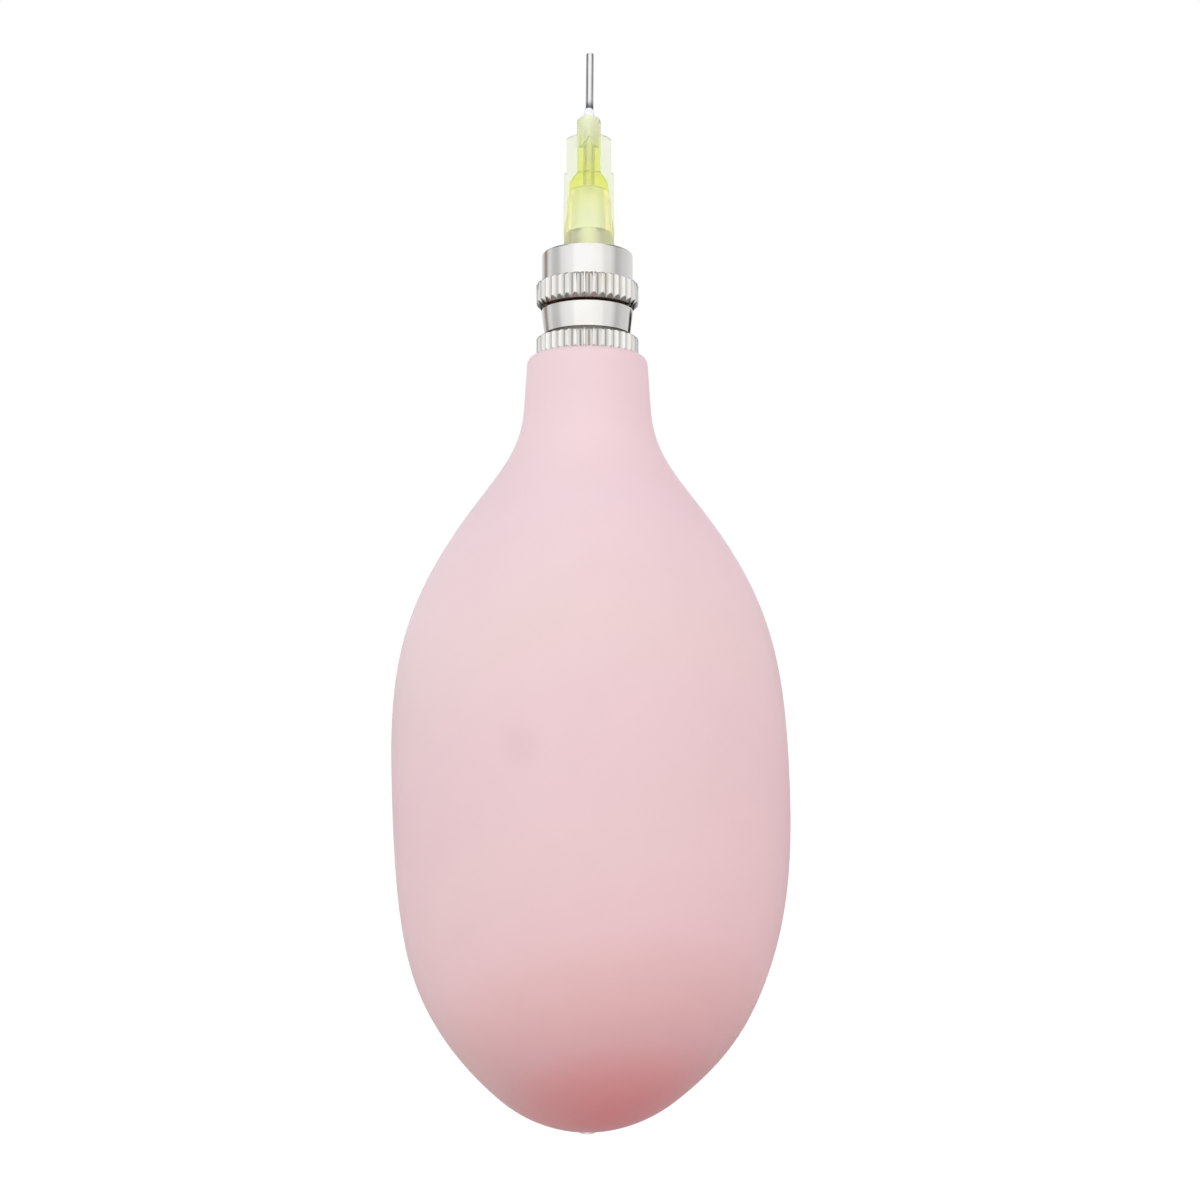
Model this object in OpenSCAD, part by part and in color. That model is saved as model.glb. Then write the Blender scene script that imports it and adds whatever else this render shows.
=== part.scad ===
// Hand squeeze-bulb air pump with a locked-on inflation needle.
// The pump stands upright: Z is its axis, the needle points up, and the
// nose of the tail valve ends at Z = 0. All sizes are in millimetres.

/* [Bulb] */
// Largest outside diameter of the rubber bulb
bulb_d = 46.2; // [42:0.1:52]
// Height of the rubber, from the tail's pole to the top of the lip
bulb_h = 89.5; // [88:0.1:94]
// Wall thickness of the rubber
bulb_wall = 2.2; // [1.6:0.1:3]
// Height of the widest place above the pole
belly_h = 38.2; // [34:0.1:42]
// Radius of the round tail
tail_r = 16.9; // [15:0.1:19]
// How far the round tail runs up the side, in degrees
tail_sweep = 44; // [40:1:48]
// Diameter where the shoulder turns from swelling out to curving in
shoulder_d = 27.4; // [24:0.1:30]
// Height of that place above the pole
shoulder_h = 71.1; // [68:0.1:74]
// Slope of the shoulder there, in degrees off upright
shoulder_lean = 36.4; // [32:0.1:40]
// Outside diameter of the neck
neck_d = 14.9; // [14:0.1:17]
// Height above the pole at which the neck runs straight
neck_h = 83.3; // [81:0.1:85]
// Outside diameter of the lip
lip_d = 14.2; // [13.6:0.1:16]
// Rounding of the lip's outer edge
lip_round = 1.2; // [0.5:0.1:1.5]

/* [Neck fitting] */
// Diameter of the stem inside the rubber neck
stem_d = 8; // [7.4:0.1:8.6]
// Length of stem inside the neck
stem_grip = 13; // [10:0.1:15]
// Diameter of the air way through the stem
airway_d = 2.4; // [1.8:0.1:3]
// Diameter of the flange that rests on the lip
flange_d = 9.8; // [9.4:0.1:10]
// Thickness of that flange
flange_t = 0.9; // [0.6:0.1:1.2]
// Thickness of the washer on that flange
cap_seal_t = 0.6; // [0.4:0.1:0.9]
// Diameter over the teeth of both knurled rings
knurl_d = 12; // [11.9:0.1:13]
// Number of teeth on each knurled ring
knurl_teeth = 36; // [30:1:44]
// Depth of the teeth
knurl_depth = 0.42; // [0.25:0.01:0.45]
// Height of the valve cap's knurled ring
cap_knurl_h = 2.35; // [2:0.05:3]
// Diameter of the plain band at its top
band_d = 10.8; // [10.4:0.1:11]
// Diameter of the plain band at its foot
band_foot_d = 10.1; // [10:0.1:10.6]
// Height of the plain band
band_h = 2.85; // [2.6:0.05:3.6]

/* [Luer nozzle and collar] */
// Diameter of the cone's tip
cone_tip_d = 3.95; // [3.93:0.01:3.99]
// Length of the cone
cone_h = 7.5; // [7.5:0.1:8.5]
// How far the hub goes onto the cone
luer_grip = 5.7; // [5:0.1:6]
// Diameter of the air way through the nozzle
nozzle_bore_d = 2.1; // [1.6:0.1:2.4]
// Diameter of the journal that the collar turns on
journal_d = 5.4; // [5:0.1:5.8]
// Diameter of the flange that holds the collar down
keeper_d = 6.6; // [6.2:0.1:6.8]
// Thickness of that flange
keeper_t = 0.6; // [0.5:0.1:0.8]
// Thickness of the washer under the collar
collar_washer_t = 0.2; // [0.2:0.05:0.5]
// Outside diameter of the collar's plain sleeve
collar_d = 10.64; // [10.4:0.01:11]
// Height of the plain sleeve above the knurled ring
sleeve_h = 3.45; // [2.8:0.05:3.6]
// Height of the collar's knurled ring
collar_knurl_h = 2.75; // [2.4:0.05:3]
// Thickness of the collar's floor
collar_floor_t = 0.8; // [0.6:0.05:1]
// Inside diameter of the collar, between its thread ridges
thread_d = 8; // [7.9:0.05:8.2]
// Diameter over the crests of the thread ridges
thread_crest_d = 7; // [6.9:0.05:7.2]
// Lead of the two-start thread, in one turn
thread_lead = 5; // [4.5:0.1:5.5]

/* [Needle] */
// Outside diameter of the needle tube
needle_d = 0.9; // [0.7:0.05:1]
// Inside diameter of the needle tube
needle_bore_d = 0.6; // [0.4:0.05:0.6]
// Length of bare tube above the glue
needle_h = 6.5; // [5:0.1:25]
// Height of the hub, from its mouth to its top
hub_h = 19.1; // [18.8:0.1:20]
// Diameter of the hub's thin neck
hub_neck_d = 2.78; // [2.6:0.01:3.2]
// Diameter of the hub's body under its shoulder
hub_body_d = 4.72; // [4.6:0.01:5]
// Diameter of the hub at its mouth
hub_mouth_d = 6.2; // [6:0.05:6.4]
// Span over the upper wings
wing_span = 5.25; // [5:0.05:5.8]
// Span over the lower wings
wing_foot_span = 6.04; // [5.9:0.01:6.6]
// Thickness of the wings
wing_t = 0.8; // [0.5:0.1:1.2]
// Diameter over the two locking lugs
lug_d = 7.7; // [7.5:0.05:7.8]
// Diameter of the well that holds the glue
well_d = 1.6; // [1.4:0.1:1.8]
// Depth of that well and of the glue in it, at its rim
glue_h = 3.4; // [2.8:0.1:4]
// Height of the glue's cone above the hub
glue_rise = 1.1; // [0.9:0.1:1.6]
// How far the well's floor rises towards the tube
well_rise = 1.8; // [0.5:0.1:2]
// Length of the hub's thin neck
hub_neck_h = 6.4; // [6:0.1:6.8]
// Height of the socket's roof below the foot of that neck
hub_roof_drop = 2; // [1.8:0.1:2.6]
// Depth of the tapered socket in the hub's mouth
socket_h = 7.6; // [7.5:0.1:7.8]
// How far the wings stop below the hub's top
wing_drop = 2.2; // [1.8:0.1:2.6]
// How far the wings' step lies below the hub's top
wing_step_drop = 6.4; // [6.1:0.1:6.7]
// How far the wings' foot lies above the hub's mouth
wing_foot_rise = 5.5; // [5.2:0.1:5.8]

/* [Check valves] */
// Depth of the outlet seat below the lip
outlet_depth = 6; // [5.8:0.1:6.2]
// Length of thread on the stem above the cap's seal
stem_thread_h = 1.8; // [1.6:0.1:2]
// Diameter of both valve chambers
chamber_d = 4.6; // [4.2:0.1:4.8]
// Diameter of both valve balls
ball_d = 2.5; // [2.2:0.1:2.8]
// Diameter of the hole in both seats
seat_hole_d = 1.6; // [1.2:0.1:1.8]
// Thickness of both seats
seat_t = 1.2; // [0.8:0.1:1.6]
// Height from seat to cage, the room for ball and spring
valve_room = 6; // [5.4:0.1:6.4]
// Thickness of both cages
cage_t = 1.6; // [1.2:0.1:1.8]
// Diameter of the spring wire
wire_d = 0.25; // [0.2:0.01:0.3]
// Diameter of both springs, at the middle of the wire
coil_d = 1.7; // [1.5:0.1:1.9]
// Number of turns of both springs
coil_turns = 5; // [4:1:6]

/* [Tail valve] */
// Height of the nose below the tail's pole
nose_h = 1.5; // [0.8:0.1:2]
// Diameter of the nose
nose_d = 2.8; // [2.4:0.1:3.4]
// Diameter of the air hole in the nose
nose_hole_d = 1; // [0.8:0.1:1.4]
// Diameter of the head in the rubber's recess
head_d = 9.2; // [8.6:0.1:10]
// Thickness of the head
head_t = 1; // [0.7:0.1:1.3]
// Diameter of the barrel inside the rubber tail
barrel_d = 6.8; // [6.4:0.1:7.2]
// Height of the barrel above the pole
barrel_h = 12.6; // [12.6:0.1:14]
// Diameter of the rubber boss round the barrel
boss_d = 13; // [12:0.1:14]
// Thickness of the dust gauze
gauze_t = 0.2; // [0.15:0.01:0.3]
// Thickness of metal between the head and the gauze
tail_web_t = 0.75; // [0.6:0.05:1]

/* [Fits] */
// Gap all round pieces that are pushed or screwed together
seat_gap = 0.05; // [0.02:0.01:0.08]
// Gap round the journal, under the keeper and over the collar's washer
turn_gap = 0.05; // [0.03:0.01:0.08]
// Gap between the cone and the hub's socket
luer_gap = 0.02; // [0.01:0.005:0.03]

/* [Hidden] */
$fn = 96;

// A cut runs this far past the face that it opens.
past = 1;
luer_taper = 0.06;
cap_groove_h = 0.2;
nozzle_screw_h = 1.6;

// Heights, from the tail up.
pole_z = nose_h;
lip_z = pole_z + bulb_h;
cap_top_z = lip_z + cap_knurl_h + cap_groove_h + band_h;
collar_z = cap_top_z + collar_washer_t + turn_gap;
keeper_z = collar_z + collar_floor_t + turn_gap;
cone_z = keeper_z + keeper_t;
cone_top_z = cone_z + cone_h;
rim_z = collar_z + collar_knurl_h + sleeve_h;
hub_z = cone_top_z - luer_grip;
hub_top_z = hub_z + hub_h;

// The bulb's outline pulls towards these handles, as a smooth curve does.
tail_pull = 10.6;
belly_pull_down = 18.8;
belly_pull_up = 14.3;
shoulder_pull_down = 13.9;
shoulder_pull_up = 5.1;

// Barbs that hold the two metal tubes in the rubber.
barb_out = 0.45;
barb_pitch = 3;
barb_n = 3;

// ---- Curves and outlines, as points [radius, height] ----

// A smooth curve from a to d, pulled towards b and c. Its first point is left out.
function curve(a, b, c, d, n) =
    [for (i = [1:n]) let (t = i / n, u = 1 - t) u^3 * a + 3 * u^2 * t * b + 3 * u * t^2 * c + t^3 * d];

// Points on a circle's arc, from angle a0 to a1.
function arc(c, r, a0, a1, n) =
    [for (i = [0:n]) let (a = a0 + (a1 - a0) * i / n) [c[0] + r * cos(a), c[1] + r * sin(a)]];

// Saw-tooth barbs on radius r. They run up from z, or down from it when way is -1.
function barbs(r, z, way) =
    [for (i = [0:barb_n - 1]) let (z0 = z + way * i * barb_pitch, z1 = z0 + way * 0.75 * barb_pitch)
        each [[r, z0], [r + barb_out, z1], [r, z1]]];

function reversed(list) = [for (i = [len(list) - 1:-1:0]) list[i]];

// The outline moved inwards by d, along its own normals.
function moved_in(p, d) =
    [for (i = [1:len(p) - 2]) let (s = p[i + 1] - p[i - 1], l = norm(s)) p[i] - d * [s[1], -s[0]] / l];

// ---- Bulb ----

shoulder = [shoulder_d / 2, pole_z + shoulder_h];
shoulder_dir = [-sin(shoulder_lean), cos(shoulder_lean)];
neck_foot = [neck_d / 2, pole_z + neck_h];
neck_dir = [(lip_d - neck_d) / 2, lip_z - neck_foot[1]] / norm([(lip_d - neck_d) / 2, lip_z - neck_foot[1]]);
belly = [bulb_d / 2, pole_z + belly_h];
recess_r = head_d / 2 + seat_gap;
// The head lies flush with the edge of its recess in the round tail.
head_z = pole_z + tail_r - sqrt(tail_r^2 - recess_r^2);
head_top_z = head_z + head_t;
tail_end = [tail_r * sin(tail_sweep), pole_z + tail_r * (1 - cos(tail_sweep))];

bulb_side = concat(
    arc([0, pole_z + tail_r], tail_r, asin(recess_r / tail_r) - 90, tail_sweep - 90, 14),
    curve(tail_end, tail_end + tail_pull * [cos(tail_sweep), sin(tail_sweep)],
          belly - [0, belly_pull_down], belly, 18),
    curve(belly, belly + [0, belly_pull_up], shoulder - shoulder_pull_down * shoulder_dir, shoulder, 18),
    curve(shoulder, shoulder + shoulder_pull_up * shoulder_dir,
          neck_foot - shoulder_pull_up * neck_dir, neck_foot, 12));
lip_edge = arc([lip_d / 2 - lip_round, lip_z - lip_round], lip_round, 0, 90, 6);

neck_floor_z = lip_z - stem_grip - 1;
boss_top_z = pole_z + barrel_h - 0.5;
hollow = [for (p = moved_in(bulb_side, bulb_wall))
    if (p[0] > boss_d / 2 + 0.4 && p[1] < neck_floor_z) p];
stem_hole_r = stem_d / 2 + seat_gap;
barrel_hole_r = barrel_d / 2 + seat_gap;
stem_barb_z = lip_z - stem_grip + 1;
barrel_barb_z = pole_z + barrel_h - 1;

module bulb() {
    color([0.86, 0.68, 0.70])
    rotate_extrude()
    polygon(concat(
        bulb_side, lip_edge,
        [[stem_hole_r, lip_z]], reversed(barbs(stem_hole_r, stem_barb_z, 1)), [[stem_hole_r, neck_floor_z]],
        [[hollow[len(hollow) - 1][0], neck_floor_z]], reversed(hollow),
        [[boss_d / 2, hollow[0][1]], [boss_d / 2, boss_top_z], [barrel_hole_r, boss_top_z]],
        barbs(barrel_hole_r, barrel_barb_z, -1),
        [[barrel_hole_r, head_top_z + seat_gap], [recess_r, head_top_z + seat_gap]]));
}

// ---- Check valves: a seat, a ball, a spring and a cage, stacked up from floor z ----

ball_r = ball_d / 2;
// The ball rests on the seat's edge, with a hair of room.
ball_rise = seat_t + sqrt(ball_r^2 - (seat_hole_d / 2)^2) + 0.02;
wire_r = wire_d / 2;
coil_r = coil_d / 2;
// The lowest turn sits round the ball's crown.
coil_foot = ball_rise + sqrt((ball_r + wire_r + 0.02)^2 - coil_r^2);
cage_rise = seat_t + valve_room;
fill_r = chamber_d / 2 - seat_gap;
cage_pocket_r = chamber_d / 2 + 0.3;

// The chamber's outline, from its mouth down to its floor, for a valve stacked up from floor z.
function chamber(mouth_z, floor_z, hole_r) =
    [[cage_pocket_r, mouth_z], [cage_pocket_r, floor_z + cage_rise], [chamber_d / 2, floor_z + cage_rise],
     [chamber_d / 2, floor_z], [hole_r, floor_z]];

module seat(z) {
    translate([0, 0, z]) difference() {
        cylinder(r = fill_r, h = seat_t);
        translate([0, 0, -past]) cylinder(d = seat_hole_d, h = seat_t + 2 * past);
    }
}

module ball(z) {
    translate([0, 0, z + ball_rise]) sphere(d = ball_d);
}

// A tube of rings, closed at both ends. Each ring is a list of as many points.
module swept(rings) {
    n = len(rings);
    k = len(rings[0]);
    sides = [for (i = [0:n - 2], j = [0:k - 1]) let (a = i * k + j, b = i * k + (j + 1) % k)
        each [[a, b + k, b], [a, a + k, b + k]]];
    caps = [[for (j = [0:k - 1]) j], [for (j = [k - 1:-1:0]) (n - 1) * k + j]];
    polyhedron(points = [for (ring = rings) each ring], faces = concat(sides, caps));
}

module spring(z) {
    low = z + coil_foot;
    high = z + cage_rise - wire_r - 0.02;
    steps = coil_turns * 16;
    swept([for (i = [0:steps]) let (a = i * 360 * coil_turns / steps, h = low + (high - low) * i / steps)
        [for (j = [0:5]) let (r = coil_r + wire_r * cos(60 * j)) [r * cos(a), r * sin(a), h - wire_r * sin(60 * j)]]]);
}

// The cage is a slotted plug with four air holes. It is screwed down on a step in the chamber.
module cage(z) {
    hole_d = 0.9;
    slot_w = 0.6;
    slot_h = 0.5;
    translate([0, 0, z + cage_rise]) difference() {
        cylinder(r = cage_pocket_r - seat_gap, h = cage_t);
        for (a = [0:90:270]) rotate(a) translate([fill_r * 0.6, 0, -past])
            cylinder(d = hole_d, h = cage_t + 2 * past);
        translate([0, 0, cage_t - slot_h]) linear_extrude(slot_h + past)
            square([chamber_d + 2, slot_w], center = true);
    }
}

// ---- Tail valve ----

inlet_floor_z = head_top_z + tail_web_t;
inlet_valve_z = inlet_floor_z + gauze_t;

module inlet_body() {
    nose_round = 0.5;
    color([0.80, 0.80, 0.80])
    rotate_extrude()
    polygon(concat(
        [[nose_hole_d / 2, 0]],
        arc([nose_d / 2 - nose_round, nose_round], nose_round, -90, 0, 5),
        [[nose_d / 2, head_z], [head_d / 2 - 0.2, head_z], [head_d / 2, head_z + 0.2],
         [head_d / 2, head_top_z], [barrel_d / 2, head_top_z]],
        reversed(barbs(barrel_d / 2, barrel_barb_z, -1)),
        [[barrel_d / 2 - 0.2, pole_z + barrel_h]],
        chamber(pole_z + barrel_h, inlet_valve_z, chamber_d / 2),
        [[chamber_d / 2, inlet_floor_z], [nose_hole_d / 2, inlet_floor_z]]));
}

module inlet_gauze() {
    color([0.62, 0.62, 0.60])
    translate([0, 0, inlet_floor_z]) linear_extrude(gauze_t) difference() {
        circle(r = fill_r);
        for (x = [-3:3], y = [-3:3])
            if (norm([x, y]) * 0.5 < fill_r - 0.4) translate([x * 0.5, y * 0.5]) square(0.3, center = true);
    }
}

module inlet_seat() { color([0.25, 0.25, 0.26]) seat(inlet_valve_z); }
module inlet_ball() { color([0.75, 0.76, 0.78]) ball(inlet_valve_z); }
module inlet_spring() { color([0.70, 0.70, 0.72]) spring(inlet_valve_z); }
module inlet_cage() { color([0.80, 0.68, 0.40]) cage(inlet_valve_z); }

// ---- Neck stem and outlet valve ----

outlet_floor_z = lip_z - outlet_depth;
stem_top_z = lip_z + flange_t + cap_seal_t + stem_thread_h;

module neck_stem() {
    stem_foot_z = lip_z - stem_grip;
    color([0.80, 0.68, 0.40])
    rotate_extrude()
    polygon(concat(
        [[airway_d / 2, stem_foot_z], [stem_d / 2 - 0.4, stem_foot_z]],
        barbs(stem_d / 2, stem_barb_z, 1),
        [[stem_d / 2, lip_z], [flange_d / 2, lip_z], [flange_d / 2, lip_z + flange_t],
         [stem_d / 2, lip_z + flange_t], [stem_d / 2, stem_top_z - 0.3], [stem_d / 2 - 0.3, stem_top_z]],
        chamber(stem_top_z, outlet_floor_z, airway_d / 2)));
}

module cap_seal() {
    color([0.20, 0.20, 0.20])
    translate([0, 0, lip_z + flange_t]) difference() {
        cylinder(d = flange_d, h = cap_seal_t);
        translate([0, 0, -past]) cylinder(r = stem_d / 2 + seat_gap, h = cap_seal_t + 2 * past);
    }
}

module outlet_seat() { color([0.25, 0.25, 0.26]) seat(outlet_floor_z); }
module outlet_ball() { color([0.75, 0.76, 0.78]) ball(outlet_floor_z); }
module outlet_spring() { color([0.70, 0.70, 0.72]) spring(outlet_floor_z); }
module outlet_cage() { color([0.80, 0.68, 0.40]) cage(outlet_floor_z); }

// ---- Valve cap ----

// A ring of pointed teeth, bevelled at both ends, with its foot at z.
module knurl(z, h) {
    step = 360 / knurl_teeth;
    crest_r = knurl_d / 2;
    root_r = crest_r - knurl_depth;
    bevel_r = root_r - 0.08;
    translate([0, 0, z]) intersection() {
        linear_extrude(h)
        polygon([for (i = [0:knurl_teeth - 1], q = [[0.25, root_r], [0.67, crest_r], [0.83, crest_r]])
            q[1] * [cos((i + q[0]) * step), sin((i + q[0]) * step)]]);
        rotate_extrude() polygon([[0, 0], [bevel_r, 0], [bevel_r + h / 2, h / 2], [bevel_r, h], [0, h]]);
    }
}

oring_r = 0.3;
screw_r = journal_d / 2 - 2 * oring_r;
oring_mid_r = screw_r + oring_r + seat_gap;
thread_pocket_z = lip_z + flange_t + cap_seal_t;
deck_z = stem_top_z + 0.1;

module valve_cap() {
    band_z = cap_top_z - band_h;
    edge = 0.2;
    color([0.85, 0.86, 0.86])
    difference() {
        union() {
            knurl(lip_z, cap_knurl_h);
            translate([0, 0, lip_z + 0.3]) cylinder(d = band_foot_d - 0.3, h = cap_top_z - lip_z - 0.6);
            rotate_extrude()
            polygon(concat(
                [[0, band_z], [band_foot_d / 2 - 0.1, band_z], [band_foot_d / 2, band_z + 0.1]],
                arc([band_d / 2 - edge, cap_top_z - edge], edge, 0, 90, 4),
                [[0, cap_top_z]]));
        }
        translate([0, 0, lip_z - past]) cylinder(r = flange_d / 2 + seat_gap, h = thread_pocket_z - lip_z + past);
        translate([0, 0, lip_z]) cylinder(r = stem_d / 2 + seat_gap, h = deck_z - lip_z);
        translate([0, 0, lip_z]) cylinder(r = screw_r + seat_gap, h = cap_top_z - lip_z + past);
        translate([0, 0, cap_top_z - 2 * oring_r - seat_gap])
            cylinder(r = oring_mid_r + oring_r + seat_gap, h = 2 * oring_r + seat_gap + past);
    }
}

module nozzle_seal() {
    color([0.12, 0.12, 0.12])
    translate([0, 0, cap_top_z - oring_r - seat_gap / 2])
    rotate_extrude() translate([oring_mid_r, 0]) circle(r = oring_r, $fn = 48);
}

// ---- Luer nozzle ----

cone_foot_d = cone_tip_d + luer_taper * cone_h;
screw_foot_z = cap_top_z - nozzle_screw_h;

module luer_nozzle() {
    tip_bevel = 0.15;
    color([0.78, 0.79, 0.80])
    difference() {
        rotate_extrude()
        polygon([[0, screw_foot_z], [screw_r - 0.2, screw_foot_z], [screw_r, screw_foot_z + 0.2],
                 [screw_r, cap_top_z], [journal_d / 2, cap_top_z], [journal_d / 2, keeper_z],
                 [keeper_d / 2, keeper_z], [keeper_d / 2, cone_z - 0.1], [keeper_d / 2 - 0.1, cone_z],
                 [cone_foot_d / 2, cone_z],
                 [(cone_tip_d + luer_taper * tip_bevel) / 2, cone_top_z - tip_bevel],
                 [cone_tip_d / 2 - tip_bevel, cone_top_z], [0, cone_top_z]]);
        translate([0, 0, screw_foot_z - past])
            cylinder(d = nozzle_bore_d, h = cone_top_z - screw_foot_z + 2 * past);
    }
}

// ---- Lock collar ----

// A helical ridge between radii r0 and r1, w0 and w1 high there. Its middle passes
// height z at angle a, and it runs from angle a to a + turn with the thread's lead.
// Nothing of it stands above height top.
module ridge(r0, r1, w0, w1, z, a, turn, top) {
    steps = ceil(turn / 12);
    swept([for (i = [0:steps]) let (b = a + turn * i / steps, h = z + thread_lead * turn * i / steps / 360)
        [for (q = [[r0, -w0], [r0, w0], [r1, w1], [r1, -w1]])
            [q[0] * cos(b), q[0] * sin(b), min(h + q[1] / 2, top)]]]);
}

thread_pitch = thread_lead / 2;
root_bite = 0.15;
rib_crest_w = 0.7;
rib_root_w = 1.3;
lug_w = 0.75;
lug_arc = 40;
lug_mid_z = hub_z + 0.8;
// The ridges pass half a pitch above and below the lugs, and run out under the lead-in at the rim.
lead_in = 0.3;
rib_z = lug_mid_z + thread_pitch / 2 - thread_lead / 2;
rib_top_z = rim_z - lead_in;
rib_turn = 360 * (rib_top_z + 0.1 - rib_z) / thread_lead;

module collar_washer() {
    color([0.42, 0.20, 0.12])
    translate([0, 0, cap_top_z]) difference() {
        cylinder(d = band_d - 1.4, h = collar_washer_t);
        translate([0, 0, -past]) cylinder(r = journal_d / 2 + seat_gap, h = collar_washer_t + 2 * past);
    }
}

module lock_collar() {
    edge = 0.15;
    sleeve_z = collar_z + 0.4;
    color([0.85, 0.86, 0.86]) {
        difference() {
            union() {
                knurl(collar_z, collar_knurl_h);
                rotate_extrude()
                polygon(concat([[0, sleeve_z], [collar_d / 2, sleeve_z]],
                    arc([collar_d / 2 - edge, rim_z - edge], edge, 0, 90, 4), [[0, rim_z]]));
            }
            translate([0, 0, collar_z - past]) cylinder(r = journal_d / 2 + turn_gap, h = collar_floor_t + 2 * past);
            translate([0, 0, collar_z + collar_floor_t]) cylinder(d = thread_d, h = rim_z - collar_z);
            translate([0, 0, rim_z - lead_in])
                cylinder(d1 = thread_d, d2 = thread_d + 2 * (lead_in + past), h = lead_in + past);
        }
        for (a = [0, 180])
            ridge(thread_crest_d / 2, thread_d / 2 + root_bite, rib_crest_w, rib_root_w,
                  rib_z, a, rib_turn, rib_top_z);
    }
}

// ---- Needle ----

socket_r = (cone_tip_d + luer_taper * luer_grip) / 2 + luer_gap;
socket_end_r = socket_r - luer_taper * socket_h / 2;
// Below the well the tube runs through solid plastic, and the body swells out to its shoulder.
neck_foot_z = hub_top_z - hub_neck_h;
hollow_top_z = neck_foot_z - hub_roof_drop;
shoulder_foot_z = neck_foot_z - 2.1;

module hub_wings() {
    up = wing_span / 2;
    low = wing_foot_span / 2;
    top_z = hub_top_z - wing_drop;
    step_z = hub_top_z - wing_step_drop;
    foot_z = hub_z + wing_foot_rise;
    round = 0.4;
    side = concat(
        [[low - 0.25, foot_z - 0.8], [low, foot_z]],
        arc([low - 0.1 - round, step_z - round], round, 0, 80, 4),
        [[up, step_z + 0.3]],
        arc([up - round, top_z - round], round, 0, 75, 4),
        [[hub_neck_d / 2 - 0.2, top_z + 0.3]]);
    rotate([90, 0, 0]) linear_extrude(wing_t, center = true)
    polygon(concat(side, reversed([for (p = side) [-p[0], p[1]]])));
}

module needle_hub() {
    neck_r = hub_neck_d / 2;
    body_r = hub_body_d / 2;
    edge = 0.4;
    color([0.87, 0.92, 0.55, 0.7])
    difference() {
        union() {
            rotate_extrude()
            polygon(concat(
                [[0, hub_z], [hub_mouth_d / 2, hub_z], [hub_mouth_d / 2 - 0.15, hub_z + 4.8],
                 [body_r, shoulder_foot_z]],
                curve([body_r, shoulder_foot_z], [body_r, shoulder_foot_z + 1.1],
                      [neck_r + 0.35, neck_foot_z - 0.4], [neck_r, neck_foot_z], 8),
                arc([neck_r - edge, hub_top_z - edge], edge, 0, 90, 5),
                [[0, hub_top_z]]));
            hub_wings();
            for (a = [180 - lug_arc / 2, 360 - lug_arc / 2])
                ridge(hub_mouth_d / 2 - root_bite, lug_d / 2, lug_w + 0.2, lug_w,
                      lug_mid_z - thread_lead * lug_arc / 720, a, lug_arc, hub_top_z);
        }
        translate([0, 0, hub_z - past]) rotate_extrude()
        polygon([[0, 0], [socket_r + luer_taper * past / 2, 0], [socket_end_r, socket_h + past],
                 [needle_d / 2 + 0.5, hollow_top_z - hub_z + past], [0, hollow_top_z - hub_z + past]]);
        translate([0, 0, hollow_top_z - past]) cylinder(d = needle_d + 2 * luer_gap, h = hub_h);
        rotate_extrude()
        polygon([[0, well_floor_z + well_rise], [needle_d / 2, well_floor_z + well_rise],
                 [well_d / 2, well_floor_z], [well_d / 2, hub_top_z + past], [0, hub_top_z + past]]);
    }
}

glue_top_z = hub_top_z + glue_rise;
// The floor is steep, so a gap measured upright has to be several times the gap across it.
glue_gap = 0.01;
well_floor_z = hub_top_z - glue_h - 8 * glue_gap;

module needle_glue() {
    color([0.95, 0.96, 0.93])
    difference() {
        rotate_extrude()
        polygon(concat(
            [[0, hub_top_z - glue_h + well_rise], [needle_d / 2, hub_top_z - glue_h + well_rise],
             [well_d / 2 - glue_gap, hub_top_z - glue_h],
             [well_d / 2 - glue_gap, hub_top_z + glue_gap], [hub_neck_d / 2 - 0.45, hub_top_z + glue_gap]],
            curve([hub_neck_d / 2 - 0.45, hub_top_z + glue_gap], [0.75, hub_top_z + 0.2],
                  [0.55, glue_top_z - 0.5], [needle_d / 2 + 0.05, glue_top_z], 6),
            [[0, glue_top_z]]));
        translate([0, 0, hub_top_z - glue_h - past]) cylinder(d = needle_d, h = glue_h + glue_top_z);
    }
}

module needle_tube() {
    tip_z = glue_top_z + needle_h;
    foot_z = hollow_top_z + 0.1;
    // The glued end is ground a little thinner, so that the glue grips it. It tapers up to full size.
    ground = 0.02;
    ground_end = glue_rise / 2;
    bevel = 0.06;
    color([0.72, 0.73, 0.74])
    rotate_extrude()
    polygon([[needle_bore_d / 2, foot_z], [needle_d / 2 - ground, foot_z],
             [needle_d / 2 - ground, glue_top_z - ground_end], [needle_d / 2, glue_top_z],
             [needle_d / 2, tip_z - bevel], [needle_d / 2 - bevel, tip_z], [needle_bore_d / 2, tip_z]]);
}

bulb();
inlet_body();
inlet_gauze();
inlet_seat();
inlet_ball();
inlet_spring();
inlet_cage();
neck_stem();
cap_seal();
outlet_seat();
outlet_ball();
outlet_spring();
outlet_cage();
valve_cap();
nozzle_seal();
luer_nozzle();
collar_washer();
lock_collar();
needle_hub();
needle_glue();
needle_tube();
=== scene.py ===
# %% [markdown]
# # A squeeze-bulb air pump with an inflation needle
# The pump is a pink rubber bulb with a plated metal head. A lock collar on the head
# holds a clear plastic hub, and a blunt steel needle is glued into that hub.
# Every visible piece is turned or moulded round one axis, so nearly all of this file is
# one idea: an outline carried round the Z axis, with a formula that adds teeth, threads or wings.

# %% Load the frame
import math

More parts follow.
